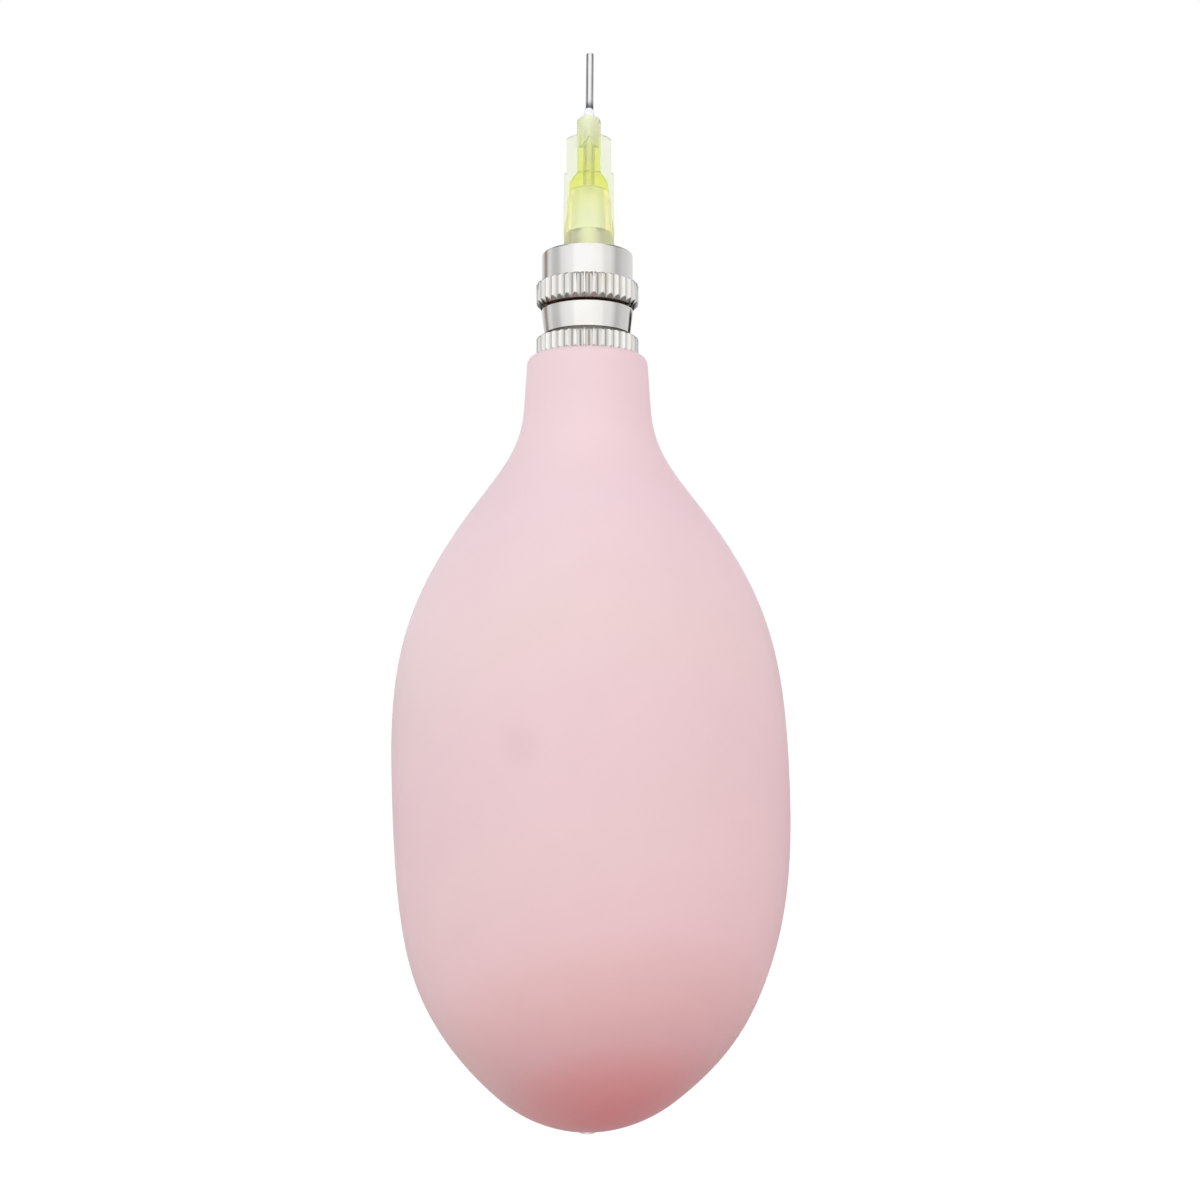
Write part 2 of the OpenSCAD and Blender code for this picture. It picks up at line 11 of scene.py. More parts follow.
import bpy
import numpy as np
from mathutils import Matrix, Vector


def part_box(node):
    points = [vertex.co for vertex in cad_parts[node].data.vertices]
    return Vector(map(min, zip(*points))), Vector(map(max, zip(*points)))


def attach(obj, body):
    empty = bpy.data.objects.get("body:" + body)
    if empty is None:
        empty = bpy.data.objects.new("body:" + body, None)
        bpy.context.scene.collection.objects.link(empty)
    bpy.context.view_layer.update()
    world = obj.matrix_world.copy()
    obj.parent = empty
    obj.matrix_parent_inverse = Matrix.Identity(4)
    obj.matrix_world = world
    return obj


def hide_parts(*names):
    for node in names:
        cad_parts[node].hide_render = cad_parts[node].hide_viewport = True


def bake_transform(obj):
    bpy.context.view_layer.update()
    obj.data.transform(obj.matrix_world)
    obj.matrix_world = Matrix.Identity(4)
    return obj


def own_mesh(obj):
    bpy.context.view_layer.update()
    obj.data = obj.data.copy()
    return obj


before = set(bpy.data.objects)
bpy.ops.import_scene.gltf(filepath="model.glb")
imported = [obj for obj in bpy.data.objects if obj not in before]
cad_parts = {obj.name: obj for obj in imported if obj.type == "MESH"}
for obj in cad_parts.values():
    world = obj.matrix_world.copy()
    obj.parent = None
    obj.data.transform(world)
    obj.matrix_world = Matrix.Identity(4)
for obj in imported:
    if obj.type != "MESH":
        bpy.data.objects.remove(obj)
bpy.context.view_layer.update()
MM = 0.001
print("CAD nodes:", sorted(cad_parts))

# %% [markdown]
# The CAD solids already have every size. The helpers below read a node's foot, top and
# radius in millimetres, so that each new piece starts from the solid that it stands for.

# %% Read sizes from the solids


def foot(node):
    """Height of the node's lowest point, in mm."""
    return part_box(node)[0].z / MM


def top(node):
    """Height of the node's highest point, in mm."""
    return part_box(node)[1].z / MM


def radius(node):
    """Half the node's width across X, in mm."""
    low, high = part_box(node)
    return (high.x - low.x) / 2 / MM


pump_h = top("needle_tube")
print("pump height", round(pump_h, 2), "mm, bulb radius", round(radius("bulb"), 2), "mm")

# %% [markdown]
# ## Camera, light and floor
# The camera looks level along +Y from close by, which is why the rings of the metal head
# curve upwards and the round tail hides its own pole. The bulb's axis is a little left of
# the middle of the picture.

# %% Camera
VIEW_DISTANCE = 133 * MM
VIEW_HEIGHT = 62.4 * MM
VIEW_SIDE = 1.48 * MM
LENS = 33.9
NEAREST = 5 * MM

camera_data = bpy.data.cameras.new("camera")
camera_data.lens = LENS
camera_data.clip_start = NEAREST
camera = bpy.data.objects.new("camera", camera_data)
camera.location = (VIEW_SIDE, -VIEW_DISTANCE, VIEW_HEIGHT)
camera.rotation_euler = (math.radians(90), 0, 0)
bpy.context.scene.collection.objects.link(camera)
bpy.context.scene.camera = camera
bpy.context.scene.view_settings.view_transform = "Standard"
print("camera", round(VIEW_DISTANCE / MM), "mm in front of the axis, lens", LENS, "mm")

# %% [markdown]
# Small helpers keep the shader code readable. `node` makes a node and sets its sockets, and
# `join` leads an output into a socket, or sets it. The rest make the most common nodes.

# %% Node helpers


def node(tree, kind, **values):
    """A new node. Values that name a socket set it, and the others set the node's own property."""
    made = tree.nodes.new(kind)
    for name, value in values.items():
        socket = name.replace("_", " ").title()
        if socket in made.inputs and not hasattr(made, name):
            made.inputs[socket].default_value = value
        else:
            setattr(made, name, value)
    return made


def join(tree, term, socket):
    """Leads an output into a socket, or sets the socket where the term is a number or a colour."""
    if isinstance(term, bpy.types.NodeSocket):
        tree.links.new(term, socket)
    elif socket.type == "RGBA":
        socket.default_value = (*term, 1)
    else:
        socket.default_value = term


def maths(tree, operation, *terms):
    """A Math node. A term is a number or an output."""
    made = node(tree, "ShaderNodeMath", operation=operation)
    for socket, term in zip(made.inputs, terms):
        join(tree, term, socket)
    return made.outputs[0]


def axes(tree, place):
    """The outputs X, Y and Z of a place."""
    made = tree.nodes.new("ShaderNodeSeparateXYZ")
    join(tree, place, made.inputs[0])
    return made.outputs


def stored(tree, name, output="Fac"):
    """An attribute that the mesh stores at its corners."""
    return node(tree, "ShaderNodeAttribute", attribute_name=name).outputs[output]


# %% Tone helpers


def ramp(tree, factor, stops):
    """A colour ramp through stops of (place, grey or colour), fed by factor."""
    made = tree.nodes.new("ShaderNodeValToRGB")
    elements = made.color_ramp.elements
    while len(elements) > 1:
        elements.remove(elements[-1])
    for number, (place, tone) in enumerate(stops):
        element = elements[0] if number == 0 else elements.new(place)
        element.position = place
        element.color = (*tone, 1) if isinstance(tone, tuple) else (tone, tone, tone, 1)
    join(tree, factor, made.inputs["Fac"])
    return made.outputs["Color"]


def mixed(tree, share, first, second, blend="MIX"):
    """A colour from first to second by a share. Each of the three is a value or an output."""
    made = node(tree, "ShaderNodeMix", data_type="RGBA", blend_type=blend)
    for number, term in ((0, share), (6, first), (7, second)):
        join(tree, term, made.inputs[number])
    return made.outputs[2]


def eased(tree, value, start, end, low=0.0, high=1.0):
    """A smooth step from low to high, while value goes from start to end."""
    made = node(tree, "ShaderNodeMapRange", interpolation_type="SMOOTHSTEP")
    labels = ("Value", "From Min", "From Max", "To Min", "To Max")
    for label, term in zip(labels, (value, start, end, low, high)):
        join(tree, term, made.inputs[label])
    return made.outputs["Result"]


def either(tree, share, first, second):
    """A Mix Shader from first to second by a share."""
    made = tree.nodes.new("ShaderNodeMixShader")
    for socket, term in zip(made.inputs, (share, first, second)):
        join(tree, term, socket)
    return made.outputs[0]


# %% [markdown]
# ## The studio
# Chrome has no colour of its own: it shows the room. So the world is painted as a small
# studio. The camera and clear plastic see plain white. Polished metal sees a white panel
# behind the camera, grey cards at the sides and one narrow dark flag, which gives upright
# stripes on a round sleeve, also on metal that is seen through plastic. Rubber, which scatters
# light, gets a soft sky that is brightest just above the horizon. Real cards would do the
# same, but in a painted world each tone is one number. A stop's place is a share of the turn,
# which goes from behind the pump over its left side, the camera at 0.5 and its right side, or
# a share of the rise from straight down to straight up.

# %% Studio tones
FLAG = (0.32, 0.27, 0.24)
PANELS_ROUND = [
    (0.000, 0.70), (0.070, 0.66), (0.100, 0.58), (0.125, FLAG), (0.156, FLAG), (0.172, 0.66),
    (0.205, 0.70), (0.228, 0.55), (0.262, 0.50), (0.290, 0.57), (0.311, 0.74), (0.350, 0.82),
    (0.392, 0.86), (0.420, 1.00), (0.520, 1.00), (0.600, 0.94), (0.622, 0.80), (0.667, 0.77),
    (0.686, 0.68), (0.719, 0.47), (0.738, 0.50), (0.780, 0.60), (0.830, 0.64), (0.870, 0.70),
    (0.940, 0.74), (1.000, 0.70)]
LOW_FLAG = [(0.868, 1.0), (0.882, 0.05), (0.930, 0.05), (0.945, 1.0)]
LOW_RISE = [(0.605, 1.0), (0.625, 0.0)]
DARK_BACK = [(0.120, 0.05), (0.145, 1.0), (0.855, 1.0), (0.880, 0.05)]
DARK_BACK_RISE = [(0.18, 0.0), (0.30, 1.0), (0.470, 1.0), (0.495, 0.0)]
HIGH_SIDES = [
    (0.18, 0.75), (0.25, 0.33), (0.335, 0.33), (0.375, 1.0),
    (0.625, 1.0), (0.665, 0.33), (0.75, 0.33), (0.82, 0.75)]
HIGH_RISE = [(0.690, 0.0), (0.700, 1.0)]
SKY_RISE = [(0.00, 0.12), (0.48, 0.72), (0.50, 1.00), (0.64, 1.00), (0.70, 0.14), (1.00, 0.14)]
ABOVE_ROUND = [
    (0.00, 0.64), (0.25, (0.83, 0.76, 0.78)), (0.50, 1.00), (0.75, (0.78, 0.60, 0.64)), (1.00, 0.64)]
ABOVE_RISE = [(0.35, 0.0), (0.55, 1.0)]
BELOW_ROUND = [(0.00, 1.00), (0.25, 1.00), (0.50, 0.50), (0.75, 0.94), (1.00, 1.00)]
BELOW_RISE = [(0.35, 1.0), (0.55, 0.0)]
SKY_LEVEL = 3.75
WHITE = (1, 1, 1)
print("studio of", len(PANELS_ROUND), "tones")

# %% Directions in the world
world = bpy.data.worlds.new("studio")
bpy.context.scene.world = world
world.use_nodes = True
tree = world.node_tree
tree.nodes.clear()
way = axes(tree, tree.nodes.new("ShaderNodeTexCoord").outputs["Generated"])
turn = maths(tree, "ARCTAN2", way["X"], maths(tree, "MULTIPLY", way["Y"], -1))
round_share = maths(tree, "MULTIPLY_ADD", turn, 0.5 / math.pi, 0.5)
rise = maths(tree, "MULTIPLY_ADD", way["Z"], 0.5, 0.5)
path = tree.nodes.new("ShaderNodeLightPath").outputs

# %% [markdown]
# The dark flag and the dark back are low in the studio. Metal that lies in plastic is spared
# them, because the tinted plastic darkens it enough.

# %% Panels and sky


def darkened(tree, colour, tones, share):
    """The colour x a ramp of tones round the studio, mixed in by a share."""
    return mixed(tree, share, colour, ramp(tree, round_share, tones), "MULTIPLY")


bare = maths(tree, "LESS_THAN", path["Transmission Depth"], 0.5)
low = maths(tree, "MULTIPLY", ramp(tree, rise, LOW_RISE), bare)
low_back = maths(tree, "MULTIPLY", ramp(tree, rise, DARK_BACK_RISE), bare)
panels = darkened(tree, ramp(tree, round_share, PANELS_ROUND), LOW_FLAG, low)
panels = darkened(tree, panels, DARK_BACK, low_back)
panels = darkened(tree, panels, HIGH_SIDES, ramp(tree, rise, HIGH_RISE))
sky = darkened(tree, ramp(tree, rise, SKY_RISE), ABOVE_ROUND, ramp(tree, rise, ABOVE_RISE))
sky = darkened(tree, sky, BELOW_ROUND, ramp(tree, rise, BELOW_RISE))

# %% World


def backdrop(tree, colour, level):
    """A world background of one colour, which is a value or an output."""
    made = node(tree, "ShaderNodeBackground", strength=level)
    join(tree, colour, made.inputs["Color"])
    return made.outputs[0]


unmirrored = maths(tree, "LESS_THAN", path["Glossy Depth"], 0.5)
plain = maths(tree, "MULTIPLY", path["Is Transmission Ray"], unmirrored)
plain = maths(tree, "MAXIMUM", path["Is Camera Ray"], plain)
seen = either(tree, path["Is Glossy Ray"], backdrop(tree, sky, SKY_LEVEL), backdrop(tree, panels, 1.0))
seen = either(tree, plain, seen, backdrop(tree, WHITE, 1.0))
join(tree, seen, tree.nodes.new("ShaderNodeOutputWorld").inputs["Surface"])
print("world of", len(tree.nodes), "nodes")

# %% [markdown]
# Three large soft lamps do the modelling: the key over the front left, one straight above,
# and a weak fill from the right. They are much larger than the pump, so its shadows have no
# edge. No reflection shows them, because the painted studio is the room that metal sees.

# %% Lamps
LAMPS = [("key", (-0.22, -0.40, 0.42), 0.36, 0.23),
         ("overhead", (0.02, -0.05, 0.55), 0.40, 0.09),
         ("fill", (0.38, -0.35, 0.16), 0.40, 0.09)]
middle = Vector((0, 0, pump_h * MM / 2))


def lamp(name, place, size, watts):
    """A square area lamp at place, turned to the middle of the pump. Lengths are in metres."""
    data = bpy.data.lights.new(name, "AREA")
    data.shape = "SQUARE"
    data.size = size
    data.energy = watts
    made = bpy.data.objects.new(name, data)
    made.location = place
    made.rotation_euler = (middle - Vector(place)).to_track_quat("-Z", "Y").to_euler()
    bpy.context.scene.collection.objects.link(made)
    made.visible_glossy = False
    made.visible_transmission = False
    print(name, "lamp of", watts, "W")


for name, place, size, watts in LAMPS:
    lamp(name, place, size, watts)

# %% [markdown]
# The floor is a pale sheet some way under the pump, which is held up in the hand and has no
# foot to stand on. To the camera the sheet is nearly all plain white light, so only the
# pump's shadow tells on it. The rubber sees two paler strips on it, left and right of the pump.
# From underneath it is clear, so that the tail can be seen, and so it is for polished metal,
# which sees the panels of the studio all the way round.

# %% Floor sheet
FLOOR_DROP = 60 * MM
FLOOR_HALF = 3.0

floor_mesh = bpy.data.meshes.new("floor")
floor_mesh.from_pydata(
    [(x * FLOOR_HALF, y * FLOOR_HALF, -FLOOR_DROP) for x, y in ((-1, -1), (1, -1), (1, 1), (-1, 1))],
    [], [(0, 1, 2, 3)])
floor = bpy.data.objects.new("floor", floor_mesh)
bpy.context.scene.collection.objects.link(floor)
print("floor", FLOOR_DROP / MM, "mm under the pump")

# %% Floor material
FLOOR_GREY = (0.85, 0.85, 0.85)
FLOOR_STRIPS = [(0.02, 0.27), (0.06, 0.55), (0.16, 0.55), (0.26, 0.27)]
FLOOR_GLOW = 1.10
FLOOR_WHITE = 0.86

floor_material = bpy.data.materials.new("white sheet")
floor_material.use_nodes = True
tree = floor_material.node_tree
tree.nodes.clear()
path = tree.nodes.new("ShaderNodeLightPath").outputs
side = tree.nodes.new("ShaderNodeNewGeometry")
matt = tree.nodes.new("ShaderNodeBsdfDiffuse")
spot = axes(tree, tree.nodes.new("ShaderNodeTexCoord").outputs["Object"])
strips = ramp(tree, maths(tree, "ABSOLUTE", spot["X"]), FLOOR_STRIPS)
join(tree, mixed(tree, path["Is Diffuse Ray"], FLOOR_GREY, strips), matt.inputs["Color"])
glow = node(tree, "ShaderNodeEmission", strength=FLOOR_GLOW)
looked_at = maths(tree, "MAXIMUM", path["Is Camera Ray"], path["Is Transmission Ray"])
whitened = either(tree, maths(tree, "MULTIPLY", looked_at, FLOOR_WHITE), matt.outputs[0], glow.outputs[0])
clear = tree.nodes.new("ShaderNodeBsdfTransparent")
hidden = maths(tree, "MAXIMUM", side.outputs["Backfacing"], path["Is Glossy Ray"])
sheet = either(tree, hidden, whitened, clear.outputs[0])
join(tree, sheet, tree.nodes.new("ShaderNodeOutputMaterial").inputs["Surface"])
floor_mesh.materials.append(floor_material)
print(floor_material.name, "of", len(tree.nodes), "nodes")

# %% [markdown]
# ## Materials
# Three effects are shared by several materials, so each is a node group: a fine grain, the
# marks that a lathe leaves, and the smudges that hands leave. Each group is given a place.
# That is the object coordinates, or on the rubber the place that its mesh stores at rest, so
# the effects stay put on a piece and look the same from every side.

# %% Group helpers


def group(name, inputs, outputs):
    """A node group with (label, socket kind, default) inputs and (label, kind) outputs."""
    made = bpy.data.node_groups.new(name, "ShaderNodeTree")
    for label, kind, default in inputs:
        socket = made.interface.new_socket(name=label, in_out="INPUT", socket_type=kind)
        if default is not None:
            socket.default_value = default
    for label, kind in outputs:
        made.interface.new_socket(name=label, in_out="OUTPUT", socket_type=kind)
    print("group", name)
    return made, made.nodes.new("NodeGroupInput"), made.nodes.new("NodeGroupOutput")


def noise(tree, place, scale, detail=3.0, roughness=0.55):
    """A noise value in 0 to 1. Scale is in cells for one metre, as a number or an output."""
    made = node(tree, "ShaderNodeTexNoise", detail=detail, roughness=roughness)
    join(tree, place, made.inputs["Vector"])
    join(tree, scale, made.inputs["Scale"])
    return made.outputs[0]


# %% Group: grain
COARSER = 0.04

grain, given, made = group(
    "grain", [("Place", "NodeSocketVector", None), ("Scale", "NodeSocketFloat", 4000.0),
              ("Contrast", "NodeSocketFloat", 0.1)],
    [("Height", "NodeSocketFloat"), ("Shade", "NodeSocketFloat")])
fine = noise(grain, given.outputs["Place"], given.outputs["Scale"], 4.0)
coarse_scale = maths(grain, "MULTIPLY", given.outputs["Scale"], COARSER)
coarse = noise(grain, given.outputs["Place"], coarse_scale, 2.0)
height = maths(grain, "MULTIPLY_ADD", coarse, 0.5, maths(grain, "MULTIPLY", fine, 0.5))
shade = maths(grain, "MULTIPLY_ADD", coarse, 0.6, maths(grain, "MULTIPLY", fine, 0.4))
swing = maths(grain, "SUBTRACT", shade, 0.5)
shade = maths(grain, "MULTIPLY_ADD", swing, given.outputs["Contrast"], 1.0)
join(grain, height, made.inputs["Height"])
join(grain, shade, made.inputs["Shade"])

# %% [markdown]
# A lathe's tool leaves rings. On a side they follow each other upwards, and on a flat face
# outwards, so the rings are a noise of one number: height plus distance from the axis.

# %% Group: lathe marks
lathe, given, made = group(
    "lathe marks", [("Place", "NodeSocketVector", None), ("Pitch", "NodeSocketFloat", 0.00012)],
    [("Height", "NodeSocketFloat")])
split = axes(lathe, given.outputs["Place"])
flat = lathe.nodes.new("ShaderNodeCombineXYZ")
join(lathe, split["X"], flat.inputs["X"])
join(lathe, split["Y"], flat.inputs["Y"])
out = node(lathe, "ShaderNodeVectorMath", operation="LENGTH")
join(lathe, flat.outputs[0], out.inputs[0])
travel = maths(lathe, "ADD", split["Z"], out.outputs["Value"])
rings = node(lathe, "ShaderNodeTexNoise", noise_dimensions="1D", detail=3.0, scale=1.0)
join(lathe, maths(lathe, "DIVIDE", travel, given.outputs["Pitch"]), rings.inputs["W"])
join(lathe, rings.outputs[0], made.inputs["Height"])

# %% Group: smudges
SMUDGE_EDGE = (0.42, 0.72)

smudges, given, made = group(
    "smudges", [("Place", "NodeSocketVector", None), ("Scale", "NodeSocketFloat", 300.0),
                ("Clean", "NodeSocketFloat", 0.1), ("Smudged", "NodeSocketFloat", 0.3)],
    [("Roughness", "NodeSocketFloat")])
patches = noise(smudges, given.outputs["Place"], given.outputs["Scale"], 5.0, 0.6)
mask = eased(smudges, patches, *SMUDGE_EDGE, given.outputs["Clean"], given.outputs["Smudged"])
join(smudges, mask, made.inputs["Roughness"])

# %% [markdown]
# A material starts with `surface`, which makes the Principled shader and hands back its tree
# and its object coordinates. `shared` puts one of the groups above into it. `handled`,
# `bumped` and `tinted` lead smudges, a height and a shade into the shader.

# %% Material helpers


def display(red, green, blue):
    """Linear light for a colour in display values from 0 to 1."""
    values = np.array([red, green, blue])
    linear = np.where(values <= 0.04045, values / 12.92, ((values + 0.055) / 1.055) ** 2.4)
    return tuple(float(value) for value in linear)


def surface(name, **fixed):
    """A material with a Principled shader. Returns the material, its tree, the shader and the place."""
    made = bpy.data.materials.new(name)
    made.use_nodes = True
    tree = made.node_tree
    shader = tree.nodes["Principled BSDF"]
    for label, value in fixed.items():
        shader.inputs[label.replace("_", " ").title().replace("Ior", "IOR")].default_value = value
    print("material", name)
    return made, tree, shader, tree.nodes.new("ShaderNodeTexCoord").outputs["Object"]


def shared(tree, kind, place, **values):
    """A copy of a shared group in a material."""
    made = node(tree, "ShaderNodeGroup", node_tree=kind)
    join(tree, place, made.inputs["Place"])
    for label, value in values.items():
        made.inputs[label.title()].default_value = value
    return made.outputs


def handled(tree, shader, place, **values):
    """Leads smudges into the shader's roughness."""
    join(tree, shared(tree, smudges, place, **values)["Roughness"], shader.inputs["Roughness"])


def bumped(tree, shader, height, depth, strength=1.0):
    """Leads a height of that depth, in metres, into the shader's normal."""
    made = node(tree, "ShaderNodeBump", strength=strength, distance=depth)
    join(tree, height, made.inputs["Height"])
    join(tree, made.outputs[0], shader.inputs["Normal"])


def tinted(tree, shader, colour, shade):
    """Base colour = colour x shade. The colour can be a value or an output."""
    made = node(tree, "ShaderNodeVectorMath", operation="SCALE")
    join(tree, colour, made.inputs[0])
    join(tree, shade, made.inputs["Scale"])
    join(tree, made.outputs[0], shader.inputs["Base Color"])


# %% [markdown]
# ### Pink rubber
# The moulded rubber is matt. Its pink is painted lighter towards the shoulders and deeper low
# on the front, following z + 0.8 y - 0.15 x: painted light and shade for how light falls on it.
# A thin line round the belly shows where the two halves of the mould met, and a
# few faint marks sit on the front. All of it follows the places that the mesh stores at rest,
# so it moves with the rubber when the bulb is squeezed.

# %% Rubber tones
# Painted light and shade: the pink is paler high up and deeper low on the front.
RUBBER_SHADE_TONES = [
    (0.00, display(0.825, 0.46, 0.47)), (0.010, display(0.825, 0.50, 0.51)),
    (0.030, display(0.83, 0.562, 0.565)), (0.063, display(0.83, 0.652, 0.66)),
    (0.106, display(0.85, 0.692, 0.694)), (0.163, display(0.865, 0.738, 0.748)),
    (0.24, display(0.862, 0.754, 0.763)), (0.40, display(0.858, 0.756, 0.771)),
    (0.507, display(0.855, 0.769, 0.772)), (0.70, display(0.871, 0.787, 0.808)),
    (0.87, display(0.871, 0.785, 0.802)), (1.00, display(0.871, 0.785, 0.802))]
SHADE_TILT = 0.8
SHADE_LEAN = -0.15
SHADE_FOOT = 4
MARKS = [(-6.4, -21.5, 48.4, 3.4, 0.05), (11.0, -14.8, 61.0, 1.2, 0.05), (16.3, -8.9, 18.4, 0.35, 0.22)]
PARTING_Z = 39.7
PARTING_HALF = 0.12

pink, tree, shader, _ = surface(
    "pink rubber", sheen_weight=0.15, sheen_roughness=0.5, specular_ior_level=0.35)
place = stored(tree, "rest_place", "Vector")
split = axes(tree, place)
# Painted shade: the tone follows z + 0.8 y - 0.15 x, so the pink is deepest low on the front.
tilted = maths(tree, "MULTIPLY_ADD", split["Y"], SHADE_TILT, split["Z"])
tilted = maths(tree, "MULTIPLY_ADD", split["X"], SHADE_LEAN, tilted)
lifted = maths(tree, "ADD", tilted, SHADE_FOOT * MM)
shade_share = maths(tree, "DIVIDE", lifted, (top("bulb") + SHADE_FOOT) * MM)
body = ramp(tree, shade_share, RUBBER_SHADE_TONES)

# %% Rubber skin, marks and parting line
skin = shared(tree, grain, place, scale=6000.0, contrast=0.05)
shade = skin["Shade"]
for x, y, z, size, depth in MARKS:
    away = node(tree, "ShaderNodeVectorMath", operation="DISTANCE")
    join(tree, place, away.inputs[0])
    away.inputs[1].default_value = (x * MM, y * MM, z * MM)
    spot = eased(tree, away.outputs["Value"], 0.0, size * MM, 1 - depth, 1.0)
    shade = maths(tree, "MULTIPLY", shade, spot)
tinted(tree, shader, body, shade)
handled(tree, shader, place, scale=90.0, clean=0.52, smudged=0.66)
off_line = maths(tree, "ABSOLUTE", maths(tree, "SUBTRACT", split["Z"], PARTING_Z * MM))
flash = maths(tree, "MULTIPLY", maths(tree, "LESS_THAN", off_line, PARTING_HALF * MM), 0.5)
bumped(tree, shader, maths(tree, "ADD", skin["Height"], flash), 0.03 * MM, 0.5)
print(pink.name, "of", len(tree.nodes), "nodes")

# %% [markdown]
# ### Metals
# Plated brass, bare brass and steel differ in colour and polish. They share the lathe marks
# and the smudges. A piece can carry an attribute, hollow, which is 0 on open metal and 1 at the
# bottom of a groove. It mixes in a dark colour: painted shade on the plated rings and nozzle,
# and the glue's stain on the steel tube.

# %% Metals
WARM_SCALE = 260.0
WARM_PATCHES = [(0.45, 0.0), (0.75, 1.0)]


def metal(name, colour, warm, clean, smudged, pitch, depth, shade_and_stain=None):
    """A turned metal: colour with warm patches, darkened towards its second colour where the mesh stores
    hollow (painted shade on plated pieces, the glue's stain on steel), roughness from clean to smudged.
    The lathe marks' pitch and depth are in mm."""
    made, tree, shader, place = surface(name, metallic=1.0)
    finish = mixed(tree, ramp(tree, noise(tree, place, WARM_SCALE), WARM_PATCHES), colour, warm)
    # Painted shade on the plated pieces, the glue's stain on the steel tube: darker where hollow is high.
    if shade_and_stain:
        finish = mixed(tree, stored(tree, "hollow"), finish, shade_and_stain)
    speck = shared(tree, grain, place, scale=9000.0, contrast=0.06)
    tinted(tree, shader, finish, speck["Shade"])
    handled(tree, shader, place, scale=420.0, clean=clean, smudged=smudged)
    marks = shared(tree, lathe, place, pitch=pitch * MM)
    bumped(tree, shader, marks["Height"], depth * MM, 0.6)
    return made


# Plated brass darkens to (0.20, 0.18, 0.15) as painted shade in the knurl valleys, groove, under the teeth
# and on the nozzle's sides.
plated = metal("plated brass", (0.94, 0.93, 0.91), (0.91, 0.87, 0.82), clean=0.07, smudged=0.16,
               pitch=0.10, depth=0.0012, shade_and_stain=(0.20, 0.18, 0.15))
brass = metal("bare brass", (0.80, 0.62, 0.30), (0.70, 0.50, 0.24), clean=0.20, smudged=0.34,
              pitch=0.14, depth=0.003)
# Steel darkens to (0.17, 0.18, 0.19) where the glue stains the tube.
steel = metal("steel", (0.90, 0.90, 0.91), (0.85, 0.85, 0.85), clean=0.10, smudged=0.18,
              pitch=0.05, depth=0.0010, shade_and_stain=(0.17, 0.18, 0.19))

# %% [markdown]
# ### Small pieces
# The seals are smooth black rubber, and the washer under the collar is brown fibre. The glue
# is milky, and where the mesh stores thin it lets the needle show.

# %% Seals, washer and glue


def grained(name, colour, scale, contrast, depth, strength, smudged, **fixed):
    """A material of one colour with a grain, a bump of that depth in mm, and smudges."""
    made, tree, shader, place = surface(name, **fixed)
    skin = shared(tree, grain, place, scale=scale, contrast=contrast)
    tinted(tree, shader, colour, skin["Shade"])
    handled(tree, shader, place, **smudged)
    bumped(tree, shader, skin["Height"], depth * MM, strength)
    return made, tree, shader


black, _, _ = grained("black rubber", (0.022, 0.022, 0.024), 7000.0, 0.3, 0.01, 0.5,
                      {"clean": 0.40, "smudged": 0.60}, specular_ior_level=0.4)
fibre, _, _ = grained("brown fibre", (0.11, 0.042, 0.026), 11000.0, 0.9, 0.02, 0.7,
                      {"clean": 0.55, "smudged": 0.75})
glue, tree, shader = grained("white glue", (0.78, 0.82, 0.88), 5000.0, 0.08, 0.02, 0.6,
                             {"scale": 1500.0, "clean": 0.18, "smudged": 0.34})
join(tree, maths(tree, "SUBTRACT", 1.0, stored(tree, "thin")), shader.inputs["Alpha"])

# %% [markdown]
# ### Hub plastic
# The hub is clear plastic, coloured through its thickness: its thin wings look nearly clear
# and its thick shoulder looks strongly yellow. Clear plastic tints light once at each wall
# that it passes, so the tone follows the height, and the walls of the hollow inside, where
# hollow is 1, are paler and rougher. Shadow rays pass straight through: the light that real
# plastic bends into its shadow is slow to compute and hard to see on so small a piece.

# %% Hub tones
HUB_TONES = [
    (99.9, (0.875, 0.92, 0.93)), (105.2, (0.875, 0.92, 0.93)), (105.9, (0.773, 0.82, 0.93)),
    (107.0, (0.773, 0.816, 0.93)), (108.2, (0.773, 0.816, 0.80)), (109.6, (0.773, 0.818, 0.72)),
    (110.6, (0.86, 0.91, 0.61)), (111.4, (0.845, 0.89, 0.47)), (112.8, (0.81, 0.87, 0.46)),
    (114.0, (0.805, 0.865, 0.53)), (115.2, (0.82, 0.885, 0.60)), (116.4, (0.86, 0.925, 0.80)),
    (117.5, (0.92, 0.98, 1.00)), (118.2, (0.88, 0.945, 1.00)), (119.0, (0.88, 0.94, 1.00))]
WING_TONE = (0.815, 0.85, 0.98)
WING_SKIN = (0.42, 0.60)
PALER_INSIDE = 0.43
ROUGHER_INSIDE = 0.45
HUB_Z = foot("needle_hub")
HUB_TOP = top("needle_hub")

hub_plastic, tree, shader, place = surface("hub plastic", transmission_weight=0.76, ior=1.47)
split = axes(tree, place)
up_hub = maths(tree, "SUBTRACT", split["Z"], HUB_Z * MM)
up_hub = maths(tree, "DIVIDE", up_hub, (HUB_TOP - HUB_Z) * MM)
tone = ramp(tree, up_hub, [((z - HUB_Z) / (HUB_TOP - HUB_Z), shade) for z, shade in HUB_TONES])
off_wings = eased(tree, maths(tree, "ABSOLUTE", split["Y"]), WING_SKIN[0] * MM, WING_SKIN[1] * MM)
tone = mixed(tree, off_wings, WING_TONE, tone)
inside = stored(tree, "hollow")
tone = mixed(tree, maths(tree, "MULTIPLY", inside, PALER_INSIDE), tone, WHITE)

# %% Hub plastic
TINT_DENSITY = 490.0

